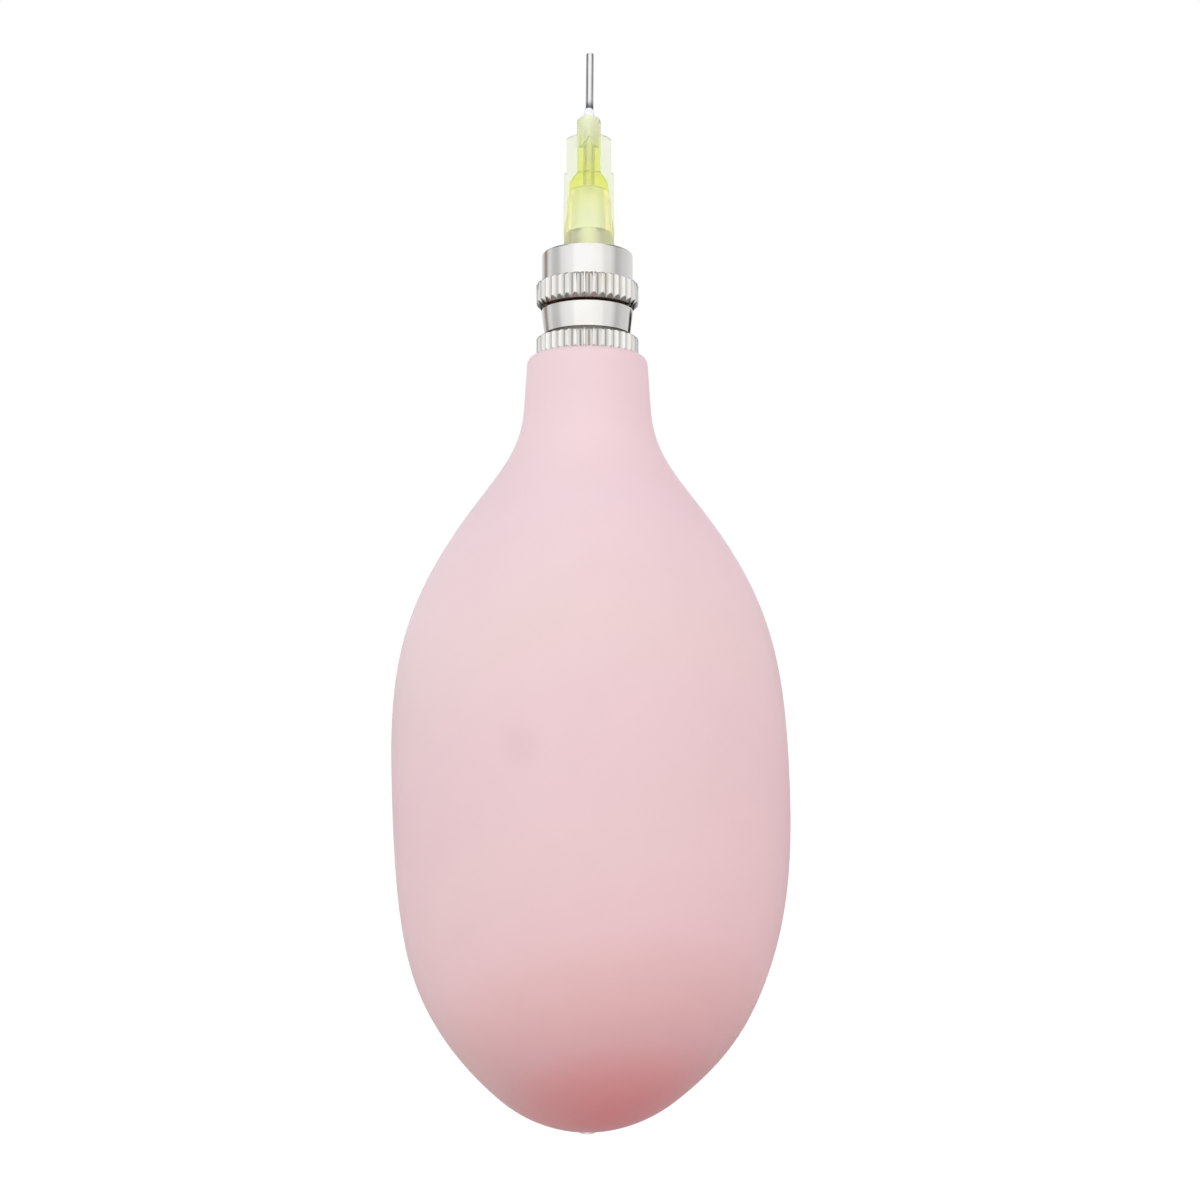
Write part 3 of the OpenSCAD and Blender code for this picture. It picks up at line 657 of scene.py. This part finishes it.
skin = shared(tree, grain, place, scale=2600.0, contrast=0.06)
tinted(tree, shader, tone, skin["Shade"])
outer = shared(tree, smudges, place, scale=900.0, clean=0.16, smudged=0.26)["Roughness"]
blurred = maths(tree, "MULTIPLY", inside, ROUGHER_INSIDE)
join(tree, maths(tree, "MAXIMUM", outer, blurred), shader.inputs["Roughness"])
bumped(tree, shader, skin["Height"], 0.01 * MM, 0.2)
tint = node(tree, "ShaderNodeVolumeAbsorption", density=TINT_DENSITY)
tint.inputs["Color"].default_value = (0.97, 0.99, 0.10, 1)
hub_output = tree.nodes["Material Output"]
join(tree, tint.outputs[0], hub_output.inputs["Volume"])
path = tree.nodes.new("ShaderNodeLightPath").outputs
let_in = tree.nodes.new("ShaderNodeBsdfTransparent")
let_in.inputs["Color"].default_value = (0.96, 0.98, 0.80, 1)
soft = maths(tree, "MAXIMUM", path["Is Shadow Ray"], path["Is Diffuse Ray"])
join(tree, either(tree, soft, shader.outputs[0], let_in.outputs[0]), hub_output.inputs["Surface"])
print(hub_plastic.name, "of", len(tree.nodes), "nodes")

# %% [markdown]
# ## Turned pieces
# An outline is a closed list of points (r, z) in millimetres, going up on the outside and
# down on the inside. `turned` carries it round the axis. With N points and M columns it
# makes N x M corners, and each one can be moved by a formula. A Screw modifier would carry
# the outline round as well, but it couldn't add teeth, threads or wings on the way.

# %% Outline helpers


def arc(centre, size, start, end, count):
    """Points centre + size (cos a, sin a), with a from start to end in degrees."""
    angles = np.radians(np.linspace(start, end, count))
    return np.column_stack([centre[0] + size * np.cos(angles), centre[1] + size * np.sin(angles)])


def bezier(a, b, c, d, count):
    """The cubic curve u^3 a + 3 u^2 t b + 3 u t^2 c + t^3 d, with u = 1 - t."""
    t = np.linspace(0, 1, count)[:, None]
    u = 1 - t
    return u**3 * np.array(a) + 3 * u**2 * t * np.array(b) + 3 * u * t**2 * np.array(c) + t**3 * np.array(d)


def softened(corners, count=4):
    """A closed outline from corners (r, z, size). Each corner is cut by u^2 p + 2 u t q + t^2 s."""
    made = []
    for number, (r, z, size) in enumerate(corners):
        here = np.array([r, z])
        if size == 0:
            made.append(here[None])
            continue
        before = np.array(corners[number - 1][:2]) - here
        after = np.array(corners[(number + 1) % len(corners)][:2]) - here
        start = here + before / np.linalg.norm(before) * size
        end = here + after / np.linalg.norm(after) * size
        t = np.linspace(0, 1, count)[:, None]
        made.append((1 - t) ** 2 * start + 2 * (1 - t) * t * here + t**2 * end)
    return np.vstack(made)


def dense(points, step, closed=True):
    """The same outline with extra points, so that no two are further apart than step."""
    points = np.asarray(points, float)
    made = []
    for here, after in zip(points if closed else points[:-1], np.roll(points, -1, axis=0)):
        count = max(1, int(np.ceil(np.linalg.norm(after - here) / step)))
        made.append(here + (after - here) * np.arange(count)[:, None] / count)
    return np.vstack(made if closed else made + [points[-1:]])


# %% Turned mesh


def plain_turn(r, z, a):
    """A point at radius r and height z: (r cos a, r sin a, z)."""
    return r * np.cos(a), r * np.sin(a), z


def turned(name, outline, columns=96, shape=plain_turn, sharp=38):
    """A closed mesh from an outline carried round Z. columns is a number or a list of angles."""
    outline = np.asarray(outline)
    angles = np.arange(columns) * 2 * np.pi / columns if np.isscalar(columns) else np.asarray(columns)
    r, a = np.meshgrid(outline[:, 0], angles, indexing="ij")
    z, a = np.meshgrid(outline[:, 1], angles, indexing="ij")
    points = np.stack(shape(r, z, a), -1).reshape(-1, 3) * MM
    rings, spokes = r.shape
    i, j = np.meshgrid(np.arange(rings), np.arange(spokes), indexing="ij")
    up, on = (i + 1) % rings, (j + 1) % spokes
    faces = [i * spokes + j, i * spokes + on, up * spokes + on, up * spokes + j]
    mesh = bpy.data.meshes.new(name)
    mesh.from_pydata(points.tolist(), [], np.stack(faces, -1).reshape(-1, 4).tolist())
    mesh.shade_smooth()
    mesh.set_sharp_from_angle(angle=math.radians(sharp))
    made = bpy.data.objects.new(name, mesh)
    bpy.context.scene.collection.objects.link(made)
    return made


# %% Piece helpers


def corner_places(piece):
    """The places of a piece's corners in metres, as an array of rows (x, y, z)."""
    places = np.empty(len(piece.data.vertices) * 3)
    piece.data.vertices.foreach_get("co", places)
    return places.reshape(-1, 3)


def store(piece, name, values):
    """Stores one number for each corner of a piece, for its material to read."""
    piece.data.attributes.new(name, "FLOAT", "POINT").data.foreach_set("value", values)
    print(piece.name, "mean", name, round(float(np.mean(values)), 3))


def dressed(piece, stands_for, material, body):
    """Gives a piece its material and slot, hides the CAD node that it stands for, and sets its body."""
    piece.data.materials.append(material)
    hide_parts(stands_for)
    if body:
        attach(piece, body)
    print(piece.name, len(piece.data.polygons), "faces")


# %% [markdown]
# ## The bulb
# Its side is a round tail, then three smooth curves through the belly and the shoulder up to the
# neck. It could be sculpted, but curves through named heights keep its size exact. A
# hand-filled mould never gives a perfect solid of revolution, so each height is pushed a
# little sideways, by a sum of bumps size exp(-((z - middle) / width)^2) in millimetres, and
# the wall swells by a few hundredths of a millimetre in broad, soft waves.
# Both fade out at the lip and round the tail valve, which the rubber has to fit.

# %% Bulb outline
POLE_Z = 1.5
TAIL_R = 16.9
TAIL_SWEEP = 44
RECESS_R = radius("inlet_body") + 0.05
LIP_Z = top("bulb")
LIP_R = 7.1
LIP_ROUND = 1.2
WALL = 2.2

belly = np.array([radius("bulb"), POLE_Z + 38.2])
shoulder = np.array([13.7, POLE_Z + 71.1])
lean = math.radians(36.4)
shoulder_way = np.array([-math.sin(lean), math.cos(lean)])
neck = np.array([7.45, POLE_Z + 83.3])
neck_way = np.array([LIP_R, LIP_Z]) - neck
neck_way = neck_way / np.linalg.norm(neck_way)
sweep = math.radians(TAIL_SWEEP)
tail_end = np.array([TAIL_R * math.sin(sweep), POLE_Z + TAIL_R * (1 - math.cos(sweep))])
tail_way = np.array([math.cos(sweep), math.sin(sweep)])

recess_angle = math.degrees(math.asin(RECESS_R / TAIL_R)) - 90
side = np.vstack([
    arc((0, POLE_Z + TAIL_R), TAIL_R, recess_angle, TAIL_SWEEP - 90, 22)[:-1],
    bezier(tail_end, tail_end + 10.6 * tail_way, belly - (0, 18.8), belly, 36)[:-1],
    bezier(belly, belly + (0, 14.3), shoulder - 13.9 * shoulder_way, shoulder, 36)[:-1],
    bezier(shoulder, shoulder + 5.1 * shoulder_way, neck - 5.1 * neck_way, neck, 22)])
lip = arc((LIP_R - LIP_ROUND, LIP_Z - LIP_ROUND), LIP_ROUND, 0, 90, 8)
print("bulb side", len(side), "points, widest", round(side[:, 0].max(), 2), "mm")

# %% [markdown]
# The hollow inside is the side moved inwards by the wall. It ends in a thick neck that grips
# the stem, and in a sleeve that grips the barrel of the tail valve.

# %% Bulb hollow
NECK_BORE_R = 4.05
NECK_BORE_FOOT = LIP_Z - 14
NECK_HOLLOW_R = 6.9
SLEEVE_R = 6.5
SLEEVE_BORE_R = 3.45
SLEEVE_TOP = POLE_Z + 12.1
HEAD_THICK = 1.0
SEAT_Z = side[0, 1] + HEAD_THICK + 0.05

steps = side[2:] - side[:-2]
normals = np.column_stack([steps[:, 1], -steps[:, 0]]) / np.linalg.norm(steps, axis=1)[:, None]
hollow_side = (side[1:-1] - WALL * normals)[::-2]
hollow_side = hollow_side[(hollow_side[:, 0] > NECK_HOLLOW_R) & (hollow_side[:, 1] < NECK_BORE_FOOT)]
inside = np.vstack([
    [[NECK_BORE_R, LIP_Z], [NECK_BORE_R, NECK_BORE_FOOT], [hollow_side[0, 0], NECK_BORE_FOOT]],
    hollow_side,
    [[SLEEVE_R, hollow_side[-1, 1]], [SLEEVE_R, SLEEVE_TOP], [SLEEVE_BORE_R, SLEEVE_TOP],
     [SLEEVE_BORE_R, SEAT_Z], [RECESS_R, SEAT_Z]]])
bulb_outline = np.vstack([side, lip, inside])
print("bulb outline", len(bulb_outline), "points")

# %% Bulb mesh
SHIFTS = [(0.60, 32, 16), (0.38, 14, 9), (-0.22, 18, 6), (-0.15, 77, 6)]
SWELL = 0.05


def hand_moulded(r, z, a):
    """The moulded shape: r swells by 0.05 (sin(2a + z/9) + sin(3a - z/14)) mm, and x shifts by the
    sum of size exp(-((z - middle) / width)^2) mm."""
    fade = np.clip((LIP_Z - 4 - z) / 20, 0, 1) * np.clip((r - 5) / 3, 0, 1)
    r = r + SWELL * fade * (np.sin(2 * a + z / 9) + np.sin(3 * a - z / 14))
    shift = 0
    for size, bump_z, width in SHIFTS:
        shift = shift + size * np.exp(-(((z - bump_z) / width) ** 2))
    x, y, z = plain_turn(r, z, a)
    return x + shift * fade, y, z


bulb = turned("rubber_bulb", bulb_outline, 224, hand_moulded)
rest_place = bulb.data.attributes.new("rest_place", "FLOAT_VECTOR", "POINT")
rest_place.data.foreach_set("vector", corner_places(bulb).ravel())
dressed(bulb, "bulb", pink, None)
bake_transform(bulb)

# %% [markdown]
# ## Knurled rings
# Both rings have 36 straight teeth. With u the distance from the middle of a valley, as a
# share of a tooth, the tooth's radius is root + depth min(u / 0.42, 1), so each tooth has a
# narrow flat crest. The outline bevels the teeth at both ends at 45 degrees, and the ring
# takes the smaller of the two radii. The valleys are painted darker than the crests: painted shade.

# %% Teeth
TEETH = 36
TOOTH_CREST = radius("lock_collar")
TOOTH_DEPTH = 0.42
TOOTH_ROOT = TOOTH_CREST - TOOTH_DEPTH
FLANK = 0.42
VALLEY = 0.25
PHASES = np.array([0.25, 0.31, 0.45, 0.60, 0.67, 0.75, 0.83, 0.90, 1.05, 1.19])
tooth_columns = ((np.arange(TEETH)[:, None] + PHASES) * 2 * np.pi / TEETH).ravel()
print("teeth from", round(TOOTH_ROOT, 2), "to", round(TOOTH_CREST, 2), "mm")


def tooth_radius(a):
    """root + depth min(u / 0.42, 1), with u the distance to the nearest valley in teeth."""
    phase = (a * TEETH / (2 * np.pi) - VALLEY) % 1.0
    u = np.minimum(phase, 1 - phase)
    return TOOTH_ROOT + (TOOTH_CREST - TOOTH_ROOT) * np.minimum(u / FLANK, 1)


def knurl(foot_z, top_z, low, high):
    """The outline of a ring of teeth from foot to top, bevelled at 45 degrees by low and high."""
    rise = np.linspace(0, 1, 5)[:, None]
    under = (TOOTH_CREST - low, foot_z) + rise * (low, low)
    over = (TOOTH_CREST, top_z - high) + rise * (-high, high)
    return np.vstack([under, over])


# %% Painted shade on the rings
VALLEY_SHADE = 0.55
RIM_SHADE = 0.7
BEVEL_SHADE = 0.85
GROOVE_R = (4.5, 5.0)


def hollowed(piece, foot_z, top_z, groove, under=0.0):
    """Stores hollow = 0.55 (1.6 (crest - r) / depth - 0.6) between the teeth and 1 in the groove, as
    painted shade.
    The teeth's upper rim and the bevel under them get painted shade as well."""
    x, y, z = corner_places(piece).T / MM
    r = np.hypot(x, y)
    between = (z > foot_z - 0.01) & (z < top_z + 0.01) & (r > TOOTH_ROOT - 0.2)
    depth = np.clip(1.6 * (TOOTH_CREST - r) / (TOOTH_CREST - TOOTH_ROOT) - 0.6, 0, 1)
    # Painted shade between the teeth, at their upper rim, on the bevel under them and in the groove.
    hollow = np.where(between, VALLEY_SHADE * depth, 0.0)
    hollow = np.where(between & (z > top_z - 0.01), RIM_SHADE, hollow)
    bevel = between & (z < foot_z + under - 0.01) & (r < tooth_radius(np.arctan2(y, x)) - 0.005)
    hollow = np.where(bevel, BEVEL_SHADE, hollow)
    in_groove = (z > groove[0]) & (z < groove[1]) & (r > GROOVE_R[0]) & (r < GROOVE_R[1])
    store(piece, "hollow", np.where(in_groove, 1.0, hollow))


# %% [markdown]
# ## Valve cap, washer and nozzle
# The valve cap sits on the rubber lip: a ring of teeth, a groove and a plain band. A brown
# fibre washer fills the dark gap between it and the collar. The nozzle stands on the cap, and
# its cone wedges into the hub. The cone shows through the plastic, so it stands off the axis
# with the hub, and its left and right sides are darkened a little: painted shade.

# %% Valve cap
CAP_TOP = top("valve_cap")
RING_TOP = LIP_Z + 2.05
BAND_FOOT = LIP_Z + 2.52
SMOOTH_R = 5.5


def cap_shape(r, z, a):
    """Teeth below the groove, and plain rings above it."""
    cut = (z < RING_TOP + 0.001) & (r > SMOOTH_R)
    return plain_turn(np.where(cut, np.minimum(r, tooth_radius(a)), r), z, a)


cap_outline = np.vstack([
    knurl(LIP_Z, RING_TOP, 0.2, 0.16),
    softened([
        (4.9, RING_TOP, 0), (4.9, BAND_FOOT, 0), (5.05, BAND_FOOT, 0.08), (5.40, CAP_TOP, 0.2),
        (2.8, CAP_TOP, 0), (2.8, CAP_TOP - 0.65, 0), (2.15, CAP_TOP - 0.65, 0), (2.15, LIP_Z + 3.4, 0),
        (4.05, LIP_Z + 3.4, 0), (4.05, LIP_Z + 1.5, 0), (4.95, LIP_Z + 1.5, 0), (4.95, LIP_Z, 0)])])
cap = turned("knurled_cap", cap_outline, tooth_columns, cap_shape, 30)
hollowed(cap, LIP_Z, RING_TOP, (RING_TOP - 0.01, BAND_FOOT + 0.01))
dressed(cap, "valve_cap", plated, "root")

# %% Washer
WASHER_R = radius("collar_washer")
WASHER_TOP = top("collar_washer")
washer_outline = softened([(2.75, CAP_TOP, 0), (WASHER_R, CAP_TOP, 0.06), (WASHER_R, WASHER_TOP, 0.06),
                           (2.75, WASHER_TOP, 0)], 3)
washer = turned("fibre_washer", washer_outline)
dressed(washer, "collar_washer", fibre, "root")

# %% Nozzle
NOZZLE_TIP = top("luer_nozzle")
CONE_Z = NOZZLE_TIP - 7.5
NOZZLE_COLUMNS = 96
NOZZLE_BORE_R = 1.05
SIDE_SHADE = 0.2
nozzle_outline = dense(softened([
    (NOZZLE_BORE_R, CAP_TOP - 1.6, 0), (2.1, CAP_TOP - 1.6, 0.2), (2.1, CAP_TOP, 0), (2.7, CAP_TOP, 0),
    (2.7, CONE_Z - 0.6, 0), (3.3, CONE_Z - 0.6, 0.05), (3.3, CONE_Z, 0.1), (2.2, CONE_Z, 0),
    (1.975, NOZZLE_TIP, 0.15), (NOZZLE_BORE_R, NOZZLE_TIP, 0.05)]), 0.5)


def sideways(z):
    """How far the hub, and what it holds, stand off the axis: 0.18 min((z - z0) / 3, 1) mm above z0,
    which is 1.2 mm above the hub's foot."""
    return 0.18 * np.clip((z - HUB_Z - 1.2) / 3, 0, 1)


def nozzle_shape(r, z, a):
    """Plain rings, whose cone stands off the axis with the hub."""
    x, y, z = plain_turn(r, z, a)
    return x + sideways(z), y, z


nozzle = turned("plated_nozzle", nozzle_outline, NOZZLE_COLUMNS, nozzle_shape)
# Painted shade: the cone darkens towards its left and right sides as the camera sees them.
sides = SIDE_SHADE * np.abs(np.cos(np.arange(NOZZLE_COLUMNS) * 2 * np.pi / NOZZLE_COLUMNS))
on_cone = (nozzle_outline[:, 1] > CONE_Z) & (nozzle_outline[:, 0] > 1.5)
store(nozzle, "hollow", np.where(on_cone[:, None], sides, 0.0).ravel())
dressed(nozzle, "luer_nozzle", plated, "root")

# %% [markdown]
# ## Lock collar
# Inside its plain sleeve the collar has a two-start thread. The thread is a ridge that
# stands 0.5 mm in from the wall wherever |z - z0 - 5 a / 360 - 2.5 k| is small, with a the
# angle past 0 or 180 degrees, so one turn lifts the lugs of the hub by 5 mm.

# %% Collar
COLLAR_Z = foot("lock_collar")
RIM_Z = top("lock_collar")
TEETH_TOP = COLLAR_Z + 2.75
COLLAR_R = 5.32
LEAD = 5
PITCH = LEAD / 2
THREAD_R = 4.0
THREAD_DEPTH = 0.5
LUG_RISE = 0.8
RIB_Z = HUB_Z + LUG_RISE - PITCH / 2


def collar_shape(r, z, a):
    """Teeth on the outside of the foot, and the thread's ridges on the wall inside."""
    teeth = (z < TEETH_TOP + 0.001) & (r > SMOOTH_R)
    r = np.where(teeth, np.minimum(r, tooth_radius(a)), r)
    past = z - RIB_Z - LEAD * (a % np.pi) / (2 * np.pi)
    off = np.abs(past - PITCH * np.clip(np.round(past / PITCH), 0, 1))
    wall = (np.abs(r - THREAD_R) < 0.01) & (z > COLLAR_Z + 0.9)
    return plain_turn(np.where(wall, r - THREAD_DEPTH * np.clip((0.65 - off) / 0.3, 0, 1), r), z, a)


bore = np.linspace((THREAD_R, RIM_Z - 0.3), (THREAD_R, COLLAR_Z + 0.8), 40)
collar_outline = np.vstack([
    knurl(COLLAR_Z, TEETH_TOP, 0.5, 0.18),
    softened([(COLLAR_R, TEETH_TOP, 0), (COLLAR_R, RIM_Z - 0.2, 0), (COLLAR_R, RIM_Z, 0.15),
              (4.3, RIM_Z, 0.04)]),
    bore, [(2.75, COLLAR_Z + 0.8), (2.75, COLLAR_Z)]])
collar = turned("knurled_collar", collar_outline, tooth_columns, collar_shape, 30)
hollowed(collar, COLLAR_Z, TEETH_TOP, (0, 0), 0.5)
dressed(collar, "lock_collar", plated, "collar")

# %% [markdown]
# ## Needle hub
# The hub is a clear turned body with two flat wings and two small lugs. At angle a, a wing of
# half span s and half thickness t reaches the radius min(s / |cos a|, t / |sin a|). The hub
# takes the largest of body, wing and lug, so the plastic is one closed skin that light can
# cross. The columns are close together near the wings.
# The well for the glue has a wedge-shaped floor, lowest at its left and right.

# %% Hub columns and wings
NECK_FOOT = HUB_TOP - 6.4
GLUE_DEPTH = 3.4
WELL_R = 0.78
WING_HALF = 0.4
WINGS = np.array([
    (4.7, 2.77), (5.5, 3.02), (12.3, 2.92), (12.5, 2.87), (12.64, 2.75), (12.7, 2.62),
    (13.0, 2.625), (16.5, 2.625), (16.7, 2.56), (16.86, 2.42), (16.9, 2.3), (17.2, 1.19)])
MOUTH_R = 3.1
LUG_R = radius("needle_hub")
LUG_HALF = 0.475
LUG_SWEEP = 20.5
TINY = 1e-6

quarter = np.concatenate([np.arange(0, 20, 1.0), np.arange(20, 90, 5.0)])
half = np.unique(np.concatenate([quarter, 180 - quarter[:0:-1], [90.0]]))
hub_columns = np.radians(np.concatenate([half, half + 180]))
print("hub columns", len(hub_columns))

# %% Hub shape


def well_floor(a, drop):
    """Height of the well's wedge-shaped floor: it rises by 1.2 (1 - |cos a|) mm, less a drop."""
    return HUB_TOP - GLUE_DEPTH + 1.2 * (1 - np.abs(np.cos(a))) - drop


def hub_shape(r, z, a):
    """The largest of body, wing and lug on the outside. The inside is round, with a wedge in the well."""
    outside = np.arange(len(r))[:, None] < OUTSIDE_COUNT
    span = np.interp(z, WINGS[:, 0] + HUB_Z, WINGS[:, 1], left=0, right=0)
    across = WING_HALF / np.maximum(np.abs(np.sin(a)), TINY)
    wing = np.minimum(span / np.maximum(np.abs(np.cos(a)), TINY), across)
    turn_off = np.degrees((a + np.pi / 2) % np.pi - np.pi / 2)
    lug_middle = HUB_Z + LUG_RISE + LEAD * turn_off / 360
    rise = np.clip((LUG_HALF - np.abs(z - lug_middle)) / 0.1, 0, 1)
    rise = rise * np.clip(LUG_SWEEP - np.abs(turn_off), 0, 1)
    lug = np.where(rise > 0, MOUTH_R + (LUG_R - MOUTH_R) * rise, 0)
    floor_ring = (r < WELL_R + 0.01) & (np.abs(z - HUB_TOP + GLUE_DEPTH) < 0.01)
    z_in = np.where(floor_ring, well_floor(a, 0.08), z)
    x, y, z = plain_turn(np.where(outside, np.maximum(r, np.maximum(wing, lug)), r), z_in, a)
    return x + sideways(z), y, z


# %% Hub outline
CROWN_R = 1.39
CROWN_ROUND = 0.4
TUBE_HOLE_R = 0.39

mouth = np.linspace((MOUTH_R, HUB_Z), (2.95, HUB_Z + 4.8), 30)
throat = (1.58, NECK_FOOT - 0.22)
hub_side = dense(np.vstack([
    mouth,
    bezier((2.36, NECK_FOOT - 2.1), (2.36, NECK_FOOT - 1.0), (1.85, NECK_FOOT - 0.5), throat, 12),
    bezier(throat, (1.45, NECK_FOOT - 0.08), (CROWN_R, NECK_FOOT + 0.1), (CROWN_R, NECK_FOOT + 0.5), 8)[1:],
    [[CROWN_R, HUB_TOP - CROWN_ROUND]]]), 0.3, closed=False)
crown = arc((CROWN_R - CROWN_ROUND, HUB_TOP - CROWN_ROUND), CROWN_ROUND, 0, 90, 6)[1:]
hub_outside = np.vstack([hub_side, crown])
OUTSIDE_COUNT = len(hub_outside)
socket = np.linspace((1.9, HUB_Z + 7.6), (2.13, HUB_Z), 16)
hub_inside = np.vstack([
    [(WELL_R, HUB_TOP), (WELL_R, HUB_TOP - GLUE_DEPTH), (TUBE_HOLE_R, HUB_TOP - GLUE_DEPTH)],
    [(TUBE_HOLE_R, NECK_FOOT - 2), (1.45, NECK_FOOT - 2), (1.72, NECK_FOOT - 2.3)], socket])
print("hub outline", OUTSIDE_COUNT, "points outside and", len(hub_inside), "inside")

# %% [markdown]
# The hollow round the cone is wider than the well. The mesh stores hollow = 1 there.

# %% Hub mesh
hub = turned("clear_hub", np.vstack([hub_outside, hub_inside]), hub_columns, hub_shape, 30)
in_hollow = np.concatenate([np.zeros(OUTSIDE_COUNT), hub_inside[:, 0] > WELL_R])
store(hub, "hollow", np.repeat(in_hollow, len(hub_columns)))
dressed(hub, "needle_hub", hub_plastic, "needle")

# %% [markdown]
# ## Glue and needle
# The glue fills the top of the hub's well and ends in a small cone round the tube. It gets
# thin towards the floor of the well. The steel tube leans by a hair more than the hub, as a
# glued tube does: x shift = 0.13 (z - z0) / 14 above z0, the foot of the hub's neck. It is
# stained where the glue holds it.

# %% Glue
GLUE_TOP = top("needle_glue")
GLUE_R = 0.79
GLUE_BORE_R = 0.40
THIN_START = 1.9
THIN_OVER = 1.3
THINNEST = 0.7


def glue_shape(r, z, a):
    """The glue fills the wedge-shaped well and stands off the axis with the hub."""
    foot_ring = z < HUB_TOP - 1
    x, y, z = plain_turn(r, np.where(foot_ring, well_floor(a, 0.09), z), a)
    return x + sideways(z), y, z


glue_outline = np.vstack([
    [(GLUE_BORE_R, HUB_TOP - GLUE_DEPTH), (GLUE_R, HUB_TOP - GLUE_DEPTH), (GLUE_R, HUB_TOP)],
    bezier((0.94, HUB_TOP + 0.01), (0.75, HUB_TOP + 0.2), (0.55, GLUE_TOP - 0.5), (0.5, GLUE_TOP), 10),
    [(GLUE_BORE_R, GLUE_TOP)]])
glue_drop = turned("glue", glue_outline, 64, glue_shape)
heights = corner_places(glue_drop)[:, 2] / MM
store(glue_drop, "thin", np.clip((HUB_TOP - THIN_START - heights) / THIN_OVER, 0, THINNEST))
dressed(glue_drop, "needle_glue", glue, "needle")

# %% Needle tube
TUBE_R = radius("needle_tube")
TUBE_BORE_R = 0.3
TUBE_Z = foot("needle_tube")
TIP_Z = top("needle_tube")
TUBE_COLUMNS = 48
STAIN_ABOVE_GLUE = 0.9
STAIN_FADE = 0.6
STAIN_IN_HUB = 0.06


def leaning(r, z, a):
    """A straight tube that stands off the axis with the hub and leans by 0.13 (z - z0) / 14 mm."""
    x, y, z = plain_turn(r, z, a)
    return x + sideways(z) + 0.13 * np.clip(z - NECK_FOOT, 0, None) / 14, y, z


tube_outline = dense(softened([
    (TUBE_BORE_R, TUBE_Z, 0), (TUBE_R, TUBE_Z, 0.02),
    (TUBE_R, TIP_Z, 0.05), (TUBE_BORE_R, TIP_Z, 0.02)]), 0.3)
tube = turned("steel_tube", tube_outline, TUBE_COLUMNS, leaning)
stain = np.clip((GLUE_TOP + STAIN_ABOVE_GLUE - tube_outline[:, 1]) / STAIN_FADE, 0, 1)
stain[tube_outline[:, 1] < HUB_TOP] = STAIN_IN_HUB
store(tube, "hollow", np.repeat(stain, TUBE_COLUMNS))
dressed(tube, "needle_tube", steel, "needle")

# %% [markdown]
# ## Tail valve
# A plated head lies flush in the round tail, with a short nose and an air hole in its middle.
# Barbs hold its barrel in the rubber. They are corners of the same turned outline.

# %% Tail valve body
HEAD_Z = side[0, 1]
BARREL_TOP = top("inlet_body")
BARREL_R = 3.4
BARB_R = 3.85
BARB_STEP = 3
barb_rows = [(r, BARREL_TOP - 1 - BARB_STEP * k - BARB_STEP * (0.75 - rise), 0)
             for k in (2, 1, 0) for r, rise in ((BARREL_R, 0.0), (BARB_R, 0.0), (BARREL_R, 0.75))]
tail_outline = softened([
    (0.5, 0, 0.08), (1.4, 0, 0.5), (1.4, HEAD_Z, 0.05),
    (4.6, HEAD_Z, 0.2), (4.6, HEAD_Z + HEAD_THICK, 0.05),
    *barb_rows, (BARREL_R, BARREL_TOP, 0.1), (2.6, BARREL_TOP, 0), (2.6, HEAD_Z + 9.15, 0),
    (2.3, HEAD_Z + 9.15, 0), (2.3, HEAD_Z + 1.75, 0), (0.5, HEAD_Z + 1.75, 0)])
tail = turned("tail_valve", tail_outline)
dressed(tail, "inlet_body", plated, "tail_valve")

# %% [markdown]
# ## Pieces kept from the CAD model
# The gauze, seats, balls, cages, stem and seals sit inside the pump. Their solids
# already have their real shape, so they only get a material.

# %% Inner pieces
INNER = {
    "inlet_gauze": steel, "inlet_seat": black, "inlet_ball": steel, "inlet_cage": brass,
    "neck_stem": brass, "cap_seal": black, "outlet_seat": black, "outlet_ball": steel,
    "outlet_cage": brass, "nozzle_seal": black}
for name, material in INNER.items():
    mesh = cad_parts[name].data
    mesh.materials.clear()
    mesh.materials.append(material)
print(len(INNER), "inner pieces keep their solids")

# %% [markdown]
# A valve's spring shortens when its ball lifts by 1 mm. Here each spring is a plain copy
# of its solid, in steel, set on its valve's body.

# %% Springs
SPRINGS = [("inlet_spring", "inlet_open", "tail_valve"), ("outlet_spring", "outlet_open", "root")]
for name, joint, body in SPRINGS:
    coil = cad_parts[name].data.copy()
    coil.transform(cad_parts[name].matrix_world)
    coil.materials.clear()
    spring = bpy.data.objects.new("steel_" + name, coil)
    bpy.context.scene.collection.objects.link(spring)
    dressed(spring, name, steel, body)
    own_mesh(spring)
